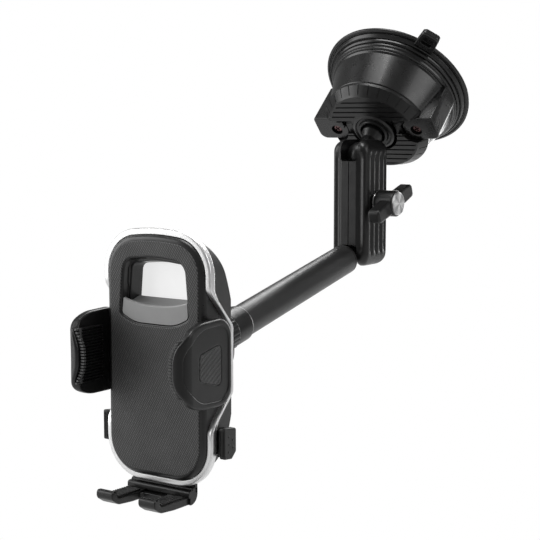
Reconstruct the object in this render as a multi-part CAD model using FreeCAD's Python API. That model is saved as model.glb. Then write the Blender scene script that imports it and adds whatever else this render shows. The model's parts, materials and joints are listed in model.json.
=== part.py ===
"""Car phone mount: suction base, clamp arm, telescopic tube and a phone cradle.

The origin is the centre of the suction cup's sealing face. +Z is up, the driver is towards -Y and
+X is to the driver's right. All sizes are in millimetres.
"""
import FreeCAD, Part

import math
import os

V3 = FreeCAD.Vector

# ---------------------------------------------------------------- driving dimensions
CUP_TILT = 43.3            # angle between the sealing face's outward normal and +Y
TUBE_DROP = 12.7           # how far the tube points below the horizontal

CUP_R = 40.0               # suction cup
RING_R = 35.0              # clamp ring on top of the cup
RING_Z = (6.0, 9.3)
HOUSING_R = (32.8, 27.8)   # housing cone, at its foot and at its top
HOUSING_Z = (9.3, 28.5)
HOUSING_WALL = 2.4
CAP_R = 28.5               # round ribbed cap, upper half fixed and lower half the lever
CAP_Z = (28.9, 35.4)
RIB_PITCH = 3.3
EAR_X = 23.5               # centre of each pivot bracket's round end
EAR_R = 7.2
EAR_OUT = 35.3
EAR_V = (-7.2, 7.2)
EAR_TOP = 33.0
LEVER_PIVOT = (3.5, 30.4)  # across and above the sealing face
LEVER_PIN_R = 1.2
LEVER_ARC_R = 6.97         # arc about the pivot where the lever meets the cover
CRANK_R = 4.25             # throw of the lever's crank pins
CRANK_LEAD = 15.0          # crank angle with the lever locked
COLLAR_R = 11.4            # round collar about the ball stud
STUD_R = 5.6
BALL_R = 7.5               # balls at both ends of the clamp arm
BALL_H = 53.5              # height of the upper ball over the sealing face

ARM_HALF = (10.0, 12.0)    # half width and half depth
ARM_Y = -39.0
ARM_TOP = -28.0
ARM_BOTTOM = -92.0
LOWER_BALL_Z = -84.5
ARM_SLOT = (4.8, 9.8, 10.9) # half width of the end slots, and their depths at the top and bottom
KNOB_Z = -60.0
BOLT_R = 2.5
WING_X = (14.6, 21.2)       # knob wings, out from the arm
WING_REACH = 18.6          # and out from the knob's axis

TUBE_R = 7.46
TUBE_WALL = 1.2
TUBE_SPAN = (14.4, 118.0)  # along the tube, from the lower ball
INNER_R = 5.5
COLLAR_SPAN = (110.0, 128.5)
CRADLE_BALL_R = 8.5
CRADLE_BALL_Y = -178.0

SHELL_HALF = 26.0          # cradle shells
SHELL_Z = (-166.8, -63.5)
SHELL_CORNER = (18.0, 16.0)
TOP_BOW = 2.4              # how far the top edge bows up in its middle
TOP_BOW_R = 90.0
FACE_Y = -207.0
BACK_Y = -185.8
DOME_EDGE_Y = -201.8
SHELL_WALL = 2.0
PARTING = [(-50, -204.2), (-86, -204.2), (-90, -201.5), (-101.5, -191.0),
           (-129.5, -191.0), (-140, -201.5), (-144, -203.6), (-180, -203.6)]
TRIM_OUT = 2.0             # how far the trim ring stands out of the shells
TRIM_BAND = 2.4            # its width

WINDOW_BACK = -196.2       # back of the pale panel in the window
WINDOW_TAPER = 0.26        # how fast the window narrows with depth

RACK_Y = (-200.0, -196.0)
PINION_Z = -116.0
GEAR_MODULE = 1.0
PINION_TEETH = 12
BACKLASH = 0.36
CLAW_IN = 27.4
CLAW_OUT = 31.2
CLAW_Z = (-135.3, -94.3)   # heights of its back corners before rounding
CLAW_BACK_Y = -195.4
CLAW_TIP_Y = -227.2
CLAW_TIP_X = 24.2
CLAW_PAD_Y = (-219.4, -207.8)
CLAW_PAD_Z = (-126.2, -103.6)
PAD_RIB_PITCH = 1.2
BUTTON_Z = (-155.5, -142.0)
FOOT_HALF = 16.5
PRONG_X = ((-15.5, -6.7), (6.7, 15.5))

RUN = 0.06                 # radial clearance of a running fit
GAP = 0.35                 # clearance between pieces that move past each other


# ---------------------------------------------------------------- helpers
def save(name, shape):
    """Write one node, as its solids only."""
    solids = shape.Solids
    if not solids or not shape.isValid():
        raise ValueError(f"{name}: {len(solids)} solids, valid {shape.isValid()}")
    out = solids[0] if len(solids) == 1 else Part.makeCompound(solids)
    out.exportStep(f"parts/{name}.step")


def box(x, y, z):
    """Box from three (low, high) pairs."""
    size = (x[1] - x[0], y[1] - y[0], z[1] - z[0])
    return Part.makeBox(*size, V3(x[0], y[0], z[0]))


def rod(radius, z, x=0.0, y=0.0):
    """Upright cylinder between two heights."""
    return Part.makeCylinder(radius, z[1] - z[0], V3(x, y, z[0]))


def rod_x(radius, x, y, z):
    return Part.makeCylinder(radius, x[1] - x[0], V3(x[0], y, z), V3(1, 0, 0))


def rod_y(radius, y, x=0.0, z=0.0):
    return Part.makeCylinder(radius, y[1] - y[0], V3(x, y[0], z), V3(0, 1, 0))


def ring(outer, inner, z):
    return rod(outer, z).cut(rod(inner, z))


def rounded_wire(corners):
    """Closed wire through (point, radius) corners, each rounded by a tangent arc."""
    edges = []
    ends = []
    count = len(corners)
    for i, (point, radius) in enumerate(corners):
        before = (corners[i - 1][0] - point).normalize()
        after = (corners[(i + 1) % count][0] - point).normalize()
        if radius <= 0:
            ends.append((point, None, point))
            continue
        half = before.getAngle(after) / 2
        reach = radius / math.tan(half)
        start = point + before * reach
        end = point + after * reach
        bisector = (before + after).normalize()
        middle = point + bisector * (radius / math.sin(half) - radius)
        ends.append((start, middle, end))
    for i, (start, middle, end) in enumerate(ends):
        if middle is not None:
            edges.append(Part.Arc(start, middle, end).toShape())
        following = ends[(i + 1) % count][0]
        if end.distanceToPoint(following) > 1e-6:
            edges.append(Part.LineSegment(end, following).toShape())
    return Part.Wire(edges)


def prism(corners, direction):
    """Solid of a rounded outline pushed along a vector."""
    return Part.Face(rounded_wire(corners)).extrude(direction)


def outline_prism(grow, y):
    """The cradle's front outline, grown by an offset, between two depths."""
    half = SHELL_HALF + grow
    low = SHELL_Z[0] - grow
    high = SHELL_Z[1] + grow
    bottom = SHELL_CORNER[0] + grow
    top = SHELL_CORNER[1] + grow
    shoulder = high - TOP_BOW
    corners = [(V3(-half, y[0], low), bottom), (V3(half, y[0], low), bottom), (V3(half, y[0], shoulder), top),
               (V3(0, y[0], high), TOP_BOW_R), (V3(-half, y[0], shoulder), top)]
    return prism(corners, V3(0, y[1] - y[0], 0))


def side_profile(points, half):
    """Solid of a (y, z) outline across the width."""
    corners = [(V3(-half, y, z), radius) for y, z, radius in points]
    return prism(corners, V3(2 * half, 0, 0))


def revolve(points, axis=V3(0, 0, 1)):
    """Solid of revolution about Z from (radius, height) corners."""
    wire = Part.makePolygon([V3(r, 0, z) for r, z in points + points[:1]])
    return Part.Face(wire).revolve(V3(0, 0, 0), axis, 360)


def mirror_x(shape):
    return shape.mirror(V3(0, 0, 0), V3(1, 0, 0))


def on_base(shape):
    """From the cup's own frame (Z off the sealing face) to the object's frame."""
    turned = shape.copy()
    turned.rotate(V3(0, 0, 0), V3(1, 0, 0), 90 + CUP_TILT)
    return turned


LOWER_BALL = V3(0, ARM_Y, LOWER_BALL_Z)


def on_tube(shape):
    """From the tube's own frame (Z along it from the lower ball) to the object's frame."""
    turned = shape.copy()
    turned.rotate(V3(0, 0, 0), V3(1, 0, 0), 90 + TUBE_DROP)
    turned.translate(LOWER_BALL)
    return turned


def spring_sleeve(radius, wire, length):
    """Envelope of a coil spring about Z from height 0: a plain sleeve one wire thick."""
    return ring(radius + wire / 2, radius - wire / 2, (0, length))


# ---------------------------------------------------------------- suction base
def suction_cup():
    rim = [(0, 0), (CUP_R - 0.6, 0), (CUP_R, 0.5), (CUP_R - 0.3, 1.5), (37.6, 3.2), (36.4, 5.0),
           (34.0, 6.0), (21.0, 6.0), (20.0, 2.0), (0, 2.0)]
    cup = revolve(rim)
    tab = prism([(V3(37, -5.5, 1.0), 0), (V3(46, -5.0, 1.0), 1.5), (V3(50.5, -4.2, 1.0), 2.5),
                 (V3(50.5, 4.2, 1.0), 2.5), (V3(46, 5.0, 1.0), 1.5), (V3(37, 5.5, 1.0), 0)],
                V3(0, 0, 3.6))
    tab = tab.makeFillet(0.8, [e for e in tab.Edges if e.BoundBox.XMin > 45.9 and e.BoundBox.ZLength < 0.1])
    tab = tab.cut(ring(37.0, 30.0, (0, 10)).fuse(rod(30.0, (0, 10))))
    tab.rotate(V3(0, 0, 0), V3(0, 0, 1), 47)
    return cup.fuse(tab).removeSplitter()


def clamp_ring():
    return revolve([(20.2, RING_Z[0]), (RING_R - 0.6, RING_Z[0]), (RING_R, 6.6), (RING_R, 7.7),
                    (RING_R - 1.0, 8.7), (33.4, RING_Z[1]), (20.2, RING_Z[1])])


def housing_cone(grow=0.0):
    low, high = HOUSING_Z
    return Part.makeCone(HOUSING_R[0] + grow, HOUSING_R[1] + grow, high - low, V3(0, 0, low))


def screw_places():
    return [(side * EAR_X, -1.0) for side in (-1, 1)]


def base_housing():
    low, high = HOUSING_Z
    shell = housing_cone()
    inner = Part.makeCone(HOUSING_R[0] - HOUSING_WALL, HOUSING_R[1] - HOUSING_WALL, high - low,
                          V3(0, 0, low + 2.2))
    body = shell.cut(inner).cut(rod(20.2, (low - 1, high)))
    web = box((-2.5, 2.5), (-29.0, 29.0), (14.0, 26.5)).common(housing_cone(-0.5))
    body = body.fuse(web).fuse(rod(9.5, (14.0, high)))
    for x, y in screw_places():
        body = body.fuse(rod(3.6, (low + 1, high), x, y))
    body = body.cut(rod(STUD_R + RUN, (0, 40))).cut(rod(8.1, (13, 19.06)))
    for x, y in screw_places():
        body = body.cut(rod(1.5, (19.0, 40), x, y))
    return body.removeSplitter()


def ear_outline(grow, z):
    """D-shaped bracket outline on the right, round towards the centre."""
    low, high = EAR_V
    corners = [(V3(EAR_X - EAR_R - grow, low - grow, z[0]), EAR_R + grow - 0.01),
               (V3(EAR_OUT + grow, low - grow, z[0]), 4.0 + grow),
               (V3(EAR_OUT + grow, high + grow, z[0]), 1.5 + grow),
               (V3(EAR_X - EAR_R - grow, high + grow, z[0]), EAR_R + grow - 0.01)]
    return prism(corners, V3(0, 0, z[1] - z[0]))


def pivot_bracket():
    ear = ear_outline(0.0, (HOUSING_Z[0] + 0.1, EAR_TOP))
    top_edges = [e for e in ear.Edges if e.BoundBox.ZMin > EAR_TOP - 0.01]
    ear = ear.makeFillet(0.7, top_edges)
    strap = Part.makeCone(HOUSING_R[0] + 3.0, HOUSING_R[1] + 7.6, 24, V3(0, 0, HOUSING_Z[0]))
    ear = ear.common(strap).cut(housing_cone(0.02))
    x, y = screw_places()[1]
    ear = ear.cut(rod(3.1, (30.2, 40), x, y)).cut(rod(1.6, (20, 40), x, y))
    pivot_y, pivot_z = LEVER_PIVOT
    return ear.cut(rod_x(LEVER_PIN_R, (10, 31.0), pivot_y, pivot_z))


def bracket_screws():
    screws = []
    for x, y in screw_places():
        head = rod(2.8, (30.2, 32.0), x, y).cut(rod(1.3, (31.0, 33), x, y))
        screws.append(head.fuse(rod(1.5, (20.0, 30.2), x, y)))
    return Part.makeCompound(screws)


def lever_pins():
    pivot_y, pivot_z = LEVER_PIVOT
    pin = rod_x(LEVER_PIN_R, (12.0, 31.0), pivot_y, pivot_z)
    return Part.makeCompound([pin, mirror_x(pin)])


def ribbed_cap():
    """Whole round cap with its bevelled, notched rim and straight ribs."""
    low, high = CAP_Z
    cap = revolve([(0, low), (CAP_R - 0.4, low), (CAP_R, low + 0.4), (CAP_R, low + 2.0),
                   (CAP_R - 4.2, high), (0, high)])
    grooves = []
    row = -CAP_R + 2.6
    while row < CAP_R:
        grooves.append(box((-CAP_R, CAP_R), (row - 0.45, row + 0.45), (high - 0.55, high + 1)))
        row += RIB_PITCH
    keep_flat = ring(60, CAP_R - 5.2, (0, 50)).fuse(rod(COLLAR_R + 1.2, (0, 50)))
    cap = cap.cut(Part.makeCompound(grooves).cut(keep_flat))
    notches = []
    for i in range(30):
        notch = box((CAP_R - 5, CAP_R + 1), (-0.22, 0.22), (-0.35, 0.6))
        notch.rotate(V3(CAP_R, 0, 0), V3(0, 1, 0), 46)
        notch.translate(V3(0, 0, low + 2.0))
        notch.rotate(V3(0, 0, 0), V3(0, 0, 1), 12 * i + 6)
        notches.append(notch)
    cap = cap.cut(Part.makeCompound(notches))
    ears = ear_outline(GAP, (0, 50))
    return cap.cut(ears).cut(mirror_x(ears))


def about_pivot(radius):
    """Round bar along the lever's pivot, over the whole width."""
    return rod_x(radius, (-40, 40), *LEVER_PIVOT)


def top_cover(cap):
    half = cap.common(box((-40, 40), (-1.0, 40), (0, 50)).fuse(about_pivot(LEVER_ARC_R - GAP)))
    half = half.cut(rod(COLLAR_R - 0.2, (0, 50))).cut(about_pivot(LEVER_PIN_R + 0.02))
    for side in (-1, 1):
        slot = (9.0, 16.4) if side > 0 else (-16.4, -9.0)
        half = half.cut(box(slot, (-5, 12.6), (0, CAP_Z[1] - 1.2)))
        half = half.cut(box(slot, (-5, 7.4), (0, 50)))
    collar = revolve([(STUD_R + 0.4, CAP_Z[0]), (COLLAR_R, CAP_Z[0]), (COLLAR_R, 35.4), (10.2, 36.2),
                      (9.4, 35.3), (8.4, 35.3), (7.9, 36.8), (6.9, 36.8), (STUD_R + 0.4, 35.2)])
    arms = [box((9.0, 11.6) if side > 0 else (-11.6, -9.0), (-9, 12.6), (0, 34.2)) for side in (-1, 1)]
    collar = collar.cut(Part.makeCompound(arms))
    link = box((-6, 6), (8.0, 13.0), (CAP_Z[0], 34.0)).cut(rod(8.0, (0, 50)))
    return half.fuse(collar).fuse(link).removeSplitter()


def lock_lever(cap):
    pivot_y, pivot_z = LEVER_PIVOT
    half = cap.common(box((-40, 40), (-40, -1.0 - GAP), (0, 50)))
    half = half.cut(rod(COLLAR_R + 1.6, (0, 50))).cut(about_pivot(LEVER_ARC_R))
    for side in (-1, 1):
        def span(a, b):
            return (a, b) if side > 0 else (-b, -a)
        lug = rod_x(3.1, span(12.1, 15.8), pivot_y, pivot_z)
        arm = box(span(12.1, 15.8), (-6.0, pivot_y), (pivot_z - 1.5, pivot_z + 3.1))
        half = half.fuse(lug).fuse(arm)
        half = half.cut(rod_x(LEVER_PIN_R + RUN, span(11.9, 31), pivot_y, pivot_z))
        angle = math.radians(CRANK_LEAD)
        crank_y = pivot_y + CRANK_R * math.cos(angle)
        crank_z = pivot_z + CRANK_R * math.sin(angle)
        web = rod_x(2.2, span(12.6, 15.8), crank_y, crank_z)
        half = half.fuse(web.cut(rod_x(LEVER_PIN_R + RUN, span(11.9, 31), pivot_y, pivot_z)))
        half = half.fuse(rod_x(1.2, span(9.6, 13.0), crank_y, crank_z))
    return half.removeSplitter()


def vacuum_plunger():
    angle = math.radians(CRANK_LEAD)
    crank_y = LEVER_PIVOT[0] + CRANK_R * math.cos(angle)
    crank_z = LEVER_PIVOT[1] + CRANK_R * math.sin(angle)
    disc = rod(18.0, (4.8, 7.4)).cut(rod(3.0, (4, 8)))
    for side in (-1, 1):
        x = (9.9, 11.6) if side > 0 else (-11.6, -9.9)
        arm = box(x, (crank_y - 3.4, crank_y + 4.2), (7.0, crank_z + 2.4))
        wide = (x[0] - 1, x[1] + 1)
        slot = box(wide, (crank_y - 1.25, crank_y + 1.6), (crank_z - 1.24, crank_z + 1.24))
        disc = disc.fuse(arm.cut(slot))
    return disc.removeSplitter()


def ball_stud():
    flange = rod(7.9, (16.2, 19.0))
    shank = rod(STUD_R, (16.2, 39.0))
    neck = Part.makeCone(STUD_R, 3.9, 3.6, V3(0, 0, 39.0))
    tip = rod(3.9, (42.5, BALL_H))
    return flange.fuse(shank).fuse(neck).fuse(tip).fuse(Part.makeSphere(BALL_R, V3(0, 0, BALL_H)))


def stud_retainer():
    return ring(8.1, 4.0, (14.0, 15.9))


# ---------------------------------------------------------------- clamp arm
def arm_body():
    half_x, half_y = ARM_HALF
    low_y = ARM_Y - half_y
    high_y = ARM_Y + half_y
    plan = [(V3(-half_x, low_y, ARM_BOTTOM), 3.6), (V3(half_x, low_y, ARM_BOTTOM), 3.6),
            (V3(half_x, high_y, ARM_BOTTOM), 3.6), (V3(-half_x, high_y, ARM_BOTTOM), 3.6)]
    body = prism(plan, V3(0, 0, ARM_TOP - ARM_BOTTOM))
    side = side_profile([(low_y, ARM_BOTTOM, 6.5), (high_y, ARM_BOTTOM, 6.5),
                         (high_y, ARM_TOP, 6.5), (low_y, ARM_TOP, 6.5)], half_x + 1)
    front = prism([(V3(-half_x, low_y - 1, ARM_BOTTOM), 5.5), (V3(half_x, low_y - 1, ARM_BOTTOM), 5.5),
                   (V3(half_x, low_y - 1, ARM_TOP), 5.5), (V3(-half_x, low_y - 1, ARM_TOP), 5.5)],
                  V3(0, 2 * half_y + 2, 0))
    body = body.common(side).common(front)
    flutes = []
    for place in (-7.0, -2.4, 2.2, 6.8):
        for side_x in (-1, 1):
            x = side_x * (half_x + 0.5)
            flute = rod(1.35, (ARM_BOTTOM + 7, ARM_TOP - 7), x, ARM_Y + place)
            ends = [Part.makeSphere(1.35, V3(x, ARM_Y + place, z)) for z in (ARM_BOTTOM + 7, ARM_TOP - 7)]
            flutes += [flute] + ends
    for cutter in flutes:
        body = body.cut(cutter)
    return body


def arm_cavities():
    """Everything hollow inside the arm: sockets, slots, bolt hole and spring pocket."""
    slot_half, top_depth, bottom_depth = ARM_SLOT
    upper = on_base(Part.makeSphere(BALL_R + RUN, V3(0, 0, BALL_H)))
    lower = Part.makeSphere(BALL_R + RUN, LOWER_BALL)
    y = (ARM_Y - 20, ARM_Y + 20)
    top = box((-slot_half, slot_half), y, (ARM_TOP - top_depth, ARM_TOP + 5))
    bottom = box((-slot_half, slot_half), y, (ARM_BOTTOM - 5, ARM_BOTTOM + bottom_depth))
    cavities = [upper, lower, top, bottom, rod_x(BOLT_R + 0.4, (-30, 30), ARM_Y, KNOB_Z),
                rod_x(5.0, (-5.2, 5.2), ARM_Y, KNOB_Z)]
    for z in (KNOB_Z + 12.5, KNOB_Z - 12.5):
        cavities.append(box((-5.5, 5.5), (ARM_Y - 7, ARM_Y + 7), (z - 3.5, z + 3.5)))
    return cavities


def arm_shells():
    body = arm_body()
    for cavity in arm_cavities():
        body = body.cut(cavity)
    right = body.common(box((0.25, 20), (-80, 0), (-120, 0)))
    left = body.common(box((-20, -0.25), (-80, 0), (-120, 0)))
    nut_pocket = rod_x(4.6, (-12, -6.4), ARM_Y, KNOB_Z)
    return left.cut(nut_pocket), right


def clamp_nut():
    hexagon = [V3(-9.6, ARM_Y + 4.5 * math.cos(math.radians(60 * i)),
                  KNOB_Z + 4.5 * math.sin(math.radians(60 * i))) for i in range(6)]
    face = Part.Face(Part.makePolygon(hexagon + hexagon[:1]))
    return face.extrude(V3(3.2, 0, 0)).cut(rod_x(BOLT_R + RUN, (-12, 0), ARM_Y, KNOB_Z))


def arm_spring():
    spring = spring_sleeve(3.9, 0.8, 10.0)
    spring.rotate(V3(0, 0, 0), V3(0, 1, 0), 90)
    spring.translate(V3(-5.0, ARM_Y, KNOB_Z))
    return spring


# ---------------------------------------------------------------- wing knob
def knob_washer():
    return rod_x(6.0, (10.15, 11.15), ARM_Y, KNOB_Z).cut(rod_x(BOLT_R + RUN, (9, 12), ARM_Y, KNOB_Z))


def wing_knob():
    hub = rod_x(6.6, (11.2, 21.6), ARM_Y, KNOB_Z)
    hub = hub.makeFillet(0.6, [e for e in hub.Edges if abs(e.BoundBox.XMin - 21.6) < 0.01
                               and abs(e.BoundBox.XMax - 21.6) < 0.01])
    low, high = WING_X
    wings = prism([(V3(low, -WING_REACH, -3.6), 2.2), (V3(low, WING_REACH, -3.6), 2.2),
                   (V3(low, WING_REACH, 3.6), 2.2), (V3(low, -WING_REACH, 3.6), 2.2)], V3(high - low, 0, 0))
    wings = wings.makeFillet(0.8, [e for e in wings.Edges if e.BoundBox.XLength < 0.01])
    wings.rotate(V3(0, 0, 0), V3(1, 0, 0), 20)
    wings.translate(V3(0, ARM_Y, KNOB_Z))
    knob = hub.fuse(wings)
    knob = knob.cut(rod_x(5.85, (21.0, 22), ARM_Y, KNOB_Z)).cut(rod_x(BOLT_R, (10, 18.5), ARM_Y, KNOB_Z))
    return knob.removeSplitter()


def knob_cap():
    cap = rod_x(5.85, (21.0, 22.8), ARM_Y, KNOB_Z)
    return cap.makeChamfer(0.4, [e for e in cap.Edges if e.BoundBox.XMin > 22.7])


def clamp_bolt():
    return rod_x(BOLT_R, (-9.4, 18.5), ARM_Y, KNOB_Z)


# ---------------------------------------------------------------- tube
def tube_ball():
    stem = rod(3.7, (5.0, 21.0)).fuse(rod(5.2, (21.0, 23.0)))
    return Part.makeSphere(BALL_R, V3(0, 0, 0)).fuse(stem)


def tube_end_plug():
    bore = TUBE_R - TUBE_WALL
    start = TUBE_SPAN[0]
    plug = revolve([(0, start), (TUBE_R - 1.4, start), (TUBE_R, start + 1.4), (TUBE_R, start + 2.6),
                    (bore, start + 2.6), (bore, 27.0), (0, 27.0)])
    return plug.cut(rod(3.7 + RUN, (0, 30))).cut(rod(5.2 + RUN, (20.8, 23.2))).cut(rod(4.6, (23.1, 30)))


def outer_tube():
    return ring(TUBE_R, TUBE_R - TUBE_WALL, (TUBE_SPAN[0] + 2.6, TUBE_SPAN[1]))


def twist_collar():
    low, high = COLLAR_SPAN
    collar = revolve([(TUBE_R + RUN, low), (8.2, low), (8.6, low + 0.6), (8.6, high - 1.2), (7.8, high),
                      (INNER_R + RUN, high), (INNER_R + RUN, 119.0), (TUBE_R + RUN, 119.0)])
    for i in range(24):
        angle = math.radians(15 * i)
        groove = rod(0.6, (low + 8.5, high - 2.5), 8.9 * math.cos(angle), 8.9 * math.sin(angle))
        collar = collar.cut(groove)
    return collar


def inner_tube():
    return ring(INNER_R, INNER_R - 1.0, (60.0, 131.0))


def slide_bush():
    bush = rod(TUBE_R - TUBE_WALL - RUN, (56.0, 60.0))
    return bush.fuse(rod(INNER_R - 1.02, (60.0, 66.0)))


def cradle_ball_place():
    return (abs(CRADLE_BALL_Y - ARM_Y)) / math.cos(math.radians(TUBE_DROP))


def cradle_ball():
    centre = cradle_ball_place()
    plug = rod(INNER_R - 1.02, (121.0, 131.0)).fuse(rod(INNER_R, (131.0, 131.8)))
    stem = rod(3.5, (131.8, centre))
    return plug.fuse(stem).fuse(Part.makeSphere(CRADLE_BALL_R, V3(0, 0, centre)))


# ---------------------------------------------------------------- cradle
def cradle_ball_centre():
    drop = math.tan(math.radians(TUBE_DROP)) * abs(CRADLE_BALL_Y - ARM_Y)
    return V3(0, CRADLE_BALL_Y, LOWER_BALL_Z - drop)


def about_ball(points):
    """Solid of revolution about the cradle's Y axis through its ball, from (radius, y) corners."""
    solid = revolve([(r, y) for r, y in points])
    solid.rotate(V3(0, 0, 0), V3(1, 0, 0), -90)
    solid.translate(cradle_ball_centre())
    return solid


def ball_seat():
    seat = about_ball([(0, -12.6), (10.4, -12.6), (10.4, -0.6), (0, -0.6)])
    return seat.cut(Part.makeSphere(CRADLE_BALL_R + RUN, cradle_ball_centre()))


def ring_nut():
    nut = about_ball([(12.0 + RUN, -7.4), (15.0, -7.4), (15.8, -6.4), (15.8, 5.6), (14.8, 6.8), (7.9, 6.8),
                      (6.9, 5.2), (0, 5.2), (0, 0.4), (12.0 + RUN, 0.4)])
    nut = nut.cut(Part.makeSphere(CRADLE_BALL_R + RUN, cradle_ball_centre()))
    nut = nut.cut(about_ball([(0, 3.0), (6.4, 3.0), (7.9, 6.9), (0, 6.9)]))
    centre = cradle_ball_centre()
    for i in range(24):
        angle = math.radians(15 * i)
        groove = rod_y(1.0, (centre.y - 5.6, centre.y + 4.8), 16.3 * math.cos(angle),
                       centre.z + 16.3 * math.sin(angle))
        nut = nut.cut(groove)
    return nut


def dome(inset):
    """Space in front of the domed back, moved forwards by an inset."""
    middle_z = sum(SHELL_Z) / 2
    deep = BACK_Y - inset
    edge = DOME_EDGE_Y - inset
    wire = Part.Wire([
        Part.Arc(V3(-40, edge, SHELL_Z[0]), V3(-40, deep, middle_z), V3(-40, edge, SHELL_Z[1])).toShape(),
        Part.LineSegment(V3(-40, edge, SHELL_Z[1]), V3(-40, -260, SHELL_Z[1] + 5)).toShape(),
        Part.LineSegment(V3(-40, -260, SHELL_Z[1] + 5), V3(-40, -260, SHELL_Z[0] - 5)).toShape(),
        Part.LineSegment(V3(-40, -260, SHELL_Z[0] - 5), V3(-40, edge, SHELL_Z[0])).toShape()])
    along = Part.Face(wire).extrude(V3(80, 0, 0))
    side = deep - 3.2
    plan = Part.Wire([
        Part.Arc(V3(-SHELL_HALF, side, -200), V3(0, deep, -200), V3(SHELL_HALF, side, -200)).toShape(),
        Part.LineSegment(V3(SHELL_HALF, side, -200), V3(SHELL_HALF + 4, -260, -200)).toShape(),
        Part.LineSegment(V3(SHELL_HALF + 4, -260, -200), V3(-SHELL_HALF - 4, -260, -200)).toShape(),
        Part.LineSegment(V3(-SHELL_HALF - 4, -260, -200), V3(-SHELL_HALF, side, -200)).toShape()])
    across = Part.Face(plan).extrude(V3(0, 0, 160))
    return along.common(across)


def in_front(shift):
    """Space in front of the parting line, moved back by a shift."""
    edge = [(y + shift, z, 3.0) for z, y in PARTING]
    edge[0] = edge[0][:2] + (0,)
    edge[-1] = edge[-1][:2] + (0,)
    return side_profile(edge + [(-260, -180, 0), (-260, -50, 0)], 40)


def window_wire(grow, inset, y):
    """The window's outline at one depth: narrower at the top, with a bowed foot."""
    wide = 17.3 + grow - inset
    narrow = 15.6 + grow - inset
    high = -74.0 + grow - inset
    low = -101.6 - grow + inset
    return rounded_wire([(V3(-wide, y, -96.6), 2.0), (V3(-11.0, y, low), 4.5), (V3(11.0, y, low), 4.5),
                         (V3(wide, y, -96.6), 2.0), (V3(narrow, y, high), 4.0), (V3(-narrow, y, high), 4.0)])


def window_cut(grow, y):
    """The window's tapering recess between two depths."""
    def inset(depth):
        return max(0.0, (depth - FACE_Y) * WINDOW_TAPER)
    front = window_wire(grow, inset(y[0]), y[0])
    back = window_wire(grow, inset(y[1]), y[1])
    return Part.makeLoft([front, back], True, True)


def shells():
    block = outline_prism(0.0, (FACE_Y, BACK_Y + 1)).common(dome(0.0))
    room = outline_prism(-SHELL_WALL, (FACE_Y + 2.2, BACK_Y)).common(dome(SHELL_WALL))
    pocket = window_cut(1.4, (FACE_Y + 1, WINDOW_BACK + 0.8))
    body = block.cut(room).fuse(pocket.common(block))
    body = body.cut(window_cut(0.0, (FACE_Y, WINDOW_BACK)))
    front_space = in_front(0.0)
    front = body.common(front_space)
    back = body.cut(front_space)

    racks = box((-40, 40), (RACK_Y[0] - GAP, RACK_Y[1] + GAP), (PINION_Z - 10.2, PINION_Z + 10.2))
    front = front.cut(racks.cut(box((-20, 20), (-260, -100), (-200, 0))))
    buttons = box((-40, 40), (-201.3, -194.2), (BUTTON_Z[0] + 1.6, BUTTON_Z[1] - 1.6))
    buttons = buttons.cut(box((-20, 20), (-260, -100), (-200, 0)))
    back = back.cut(buttons)
    foot = box((-FOOT_HALF - GAP, FOOT_HALF + GAP), (-202.2, -199.2), (-175, -150))
    back = back.cut(foot)
    front = front.cut(foot)

    centre = cradle_ball_centre()
    boss = rod_y(12.0, (centre.y - 13.8, centre.y), centre.x, centre.z)
    pocket = rod_y(10.4 + RUN, (centre.y - 12.66, centre.y + 1), centre.x, centre.z)
    back = back.fuse(boss).cut(pocket)
    axle = rod_y(1.5, (-203.0, -192.2), 0, PINION_Z)
    back = back.fuse(rod_y(3.4, (-195.4, -191.0), 0, PINION_Z)).cut(axle)
    middle = sum(BUTTON_Z) / 2
    for x in ((12.0, 13.7), (-13.7, -12.0)):
        stop = box(x, (-199.4, -188), (middle - 3, middle + 3)).common(block)
        back = back.fuse(stop)
    for x, z, seat in case_screw_places():
        post = rod_y(2.6, (-204.9, -199.6), x, z)
        front = front.fuse(post).cut(rod_y(1.1, (-204.0, -190), x, z))
        sleeve = rod_y(2.6, (-199.6, -186), x, z).common(block)
        back = back.cut(rod_y(2.6 + RUN, (-206, -199.55), x, z)).fuse(sleeve)
        back = back.cut(rod_y(1.3, (-200, -180), x, z))
        back = back.cut(rod_y(2.1, (seat, -180), x, z))
    return front.removeSplitter(), back.removeSplitter()


def case_screw_places():
    """Each case screw's x and z, and the depth of its head's seat."""
    return [(-19.5, -84.0, -196.4), (19.5, -84.0, -196.4), (-19.8, -157.0, -198.4), (19.8, -157.0, -198.4)]


def case_screws():
    screws = []
    for x, z, seat in case_screw_places():
        head = rod_y(2.0, (seat, seat + 1.4), x, z).cut(rod_y(0.9, (seat + 0.8, seat + 2), x, z))
        screws.append(head.fuse(rod_y(1.1, (-203.6, seat), x, z)))
    return Part.makeCompound(screws)


def trim_ring():
    band = outline_prism(TRIM_OUT, (FACE_Y + 1.0, BACK_Y + 4)).cut(outline_prism(0.02, (FACE_Y, BACK_Y + 5)))
    ring_solid = band.common(in_front(TRIM_BAND * 0.5)).cut(in_front(-TRIM_BAND * 0.5))
    return ring_solid.removeSplitter()


def front_pad():
    pad = outline_prism(-1.8, (FACE_Y - 0.7, FACE_Y))
    return pad.cut(window_cut(0.8, (FACE_Y - 0.7, FACE_Y)))


def window_ramp():
    """Grey lip across the window's foot, sloping in to the panel."""
    wedge = side_profile([(FACE_Y, -120, 0), (FACE_Y, -94.4, 0), (FACE_Y + 1.0, -93.4, 0.8),
                          (WINDOW_BACK - 1.4, -91.2, 0), (WINDOW_BACK - 1.4, -120, 0)], 30)
    return wedge.common(window_cut(-0.05, (FACE_Y, WINDOW_BACK)))


def window_panel():
    return window_cut(-0.05, (WINDOW_BACK - 1.3, WINDOW_BACK))


def pinion_pin():
    return rod_y(1.5, (-203.0, -192.2), 0, PINION_Z)


# ---------------------------------------------------------------- claws
PITCH_R = GEAR_MODULE * PINION_TEETH / 2


def involute(angle):
    return math.tan(angle) - angle


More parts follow.
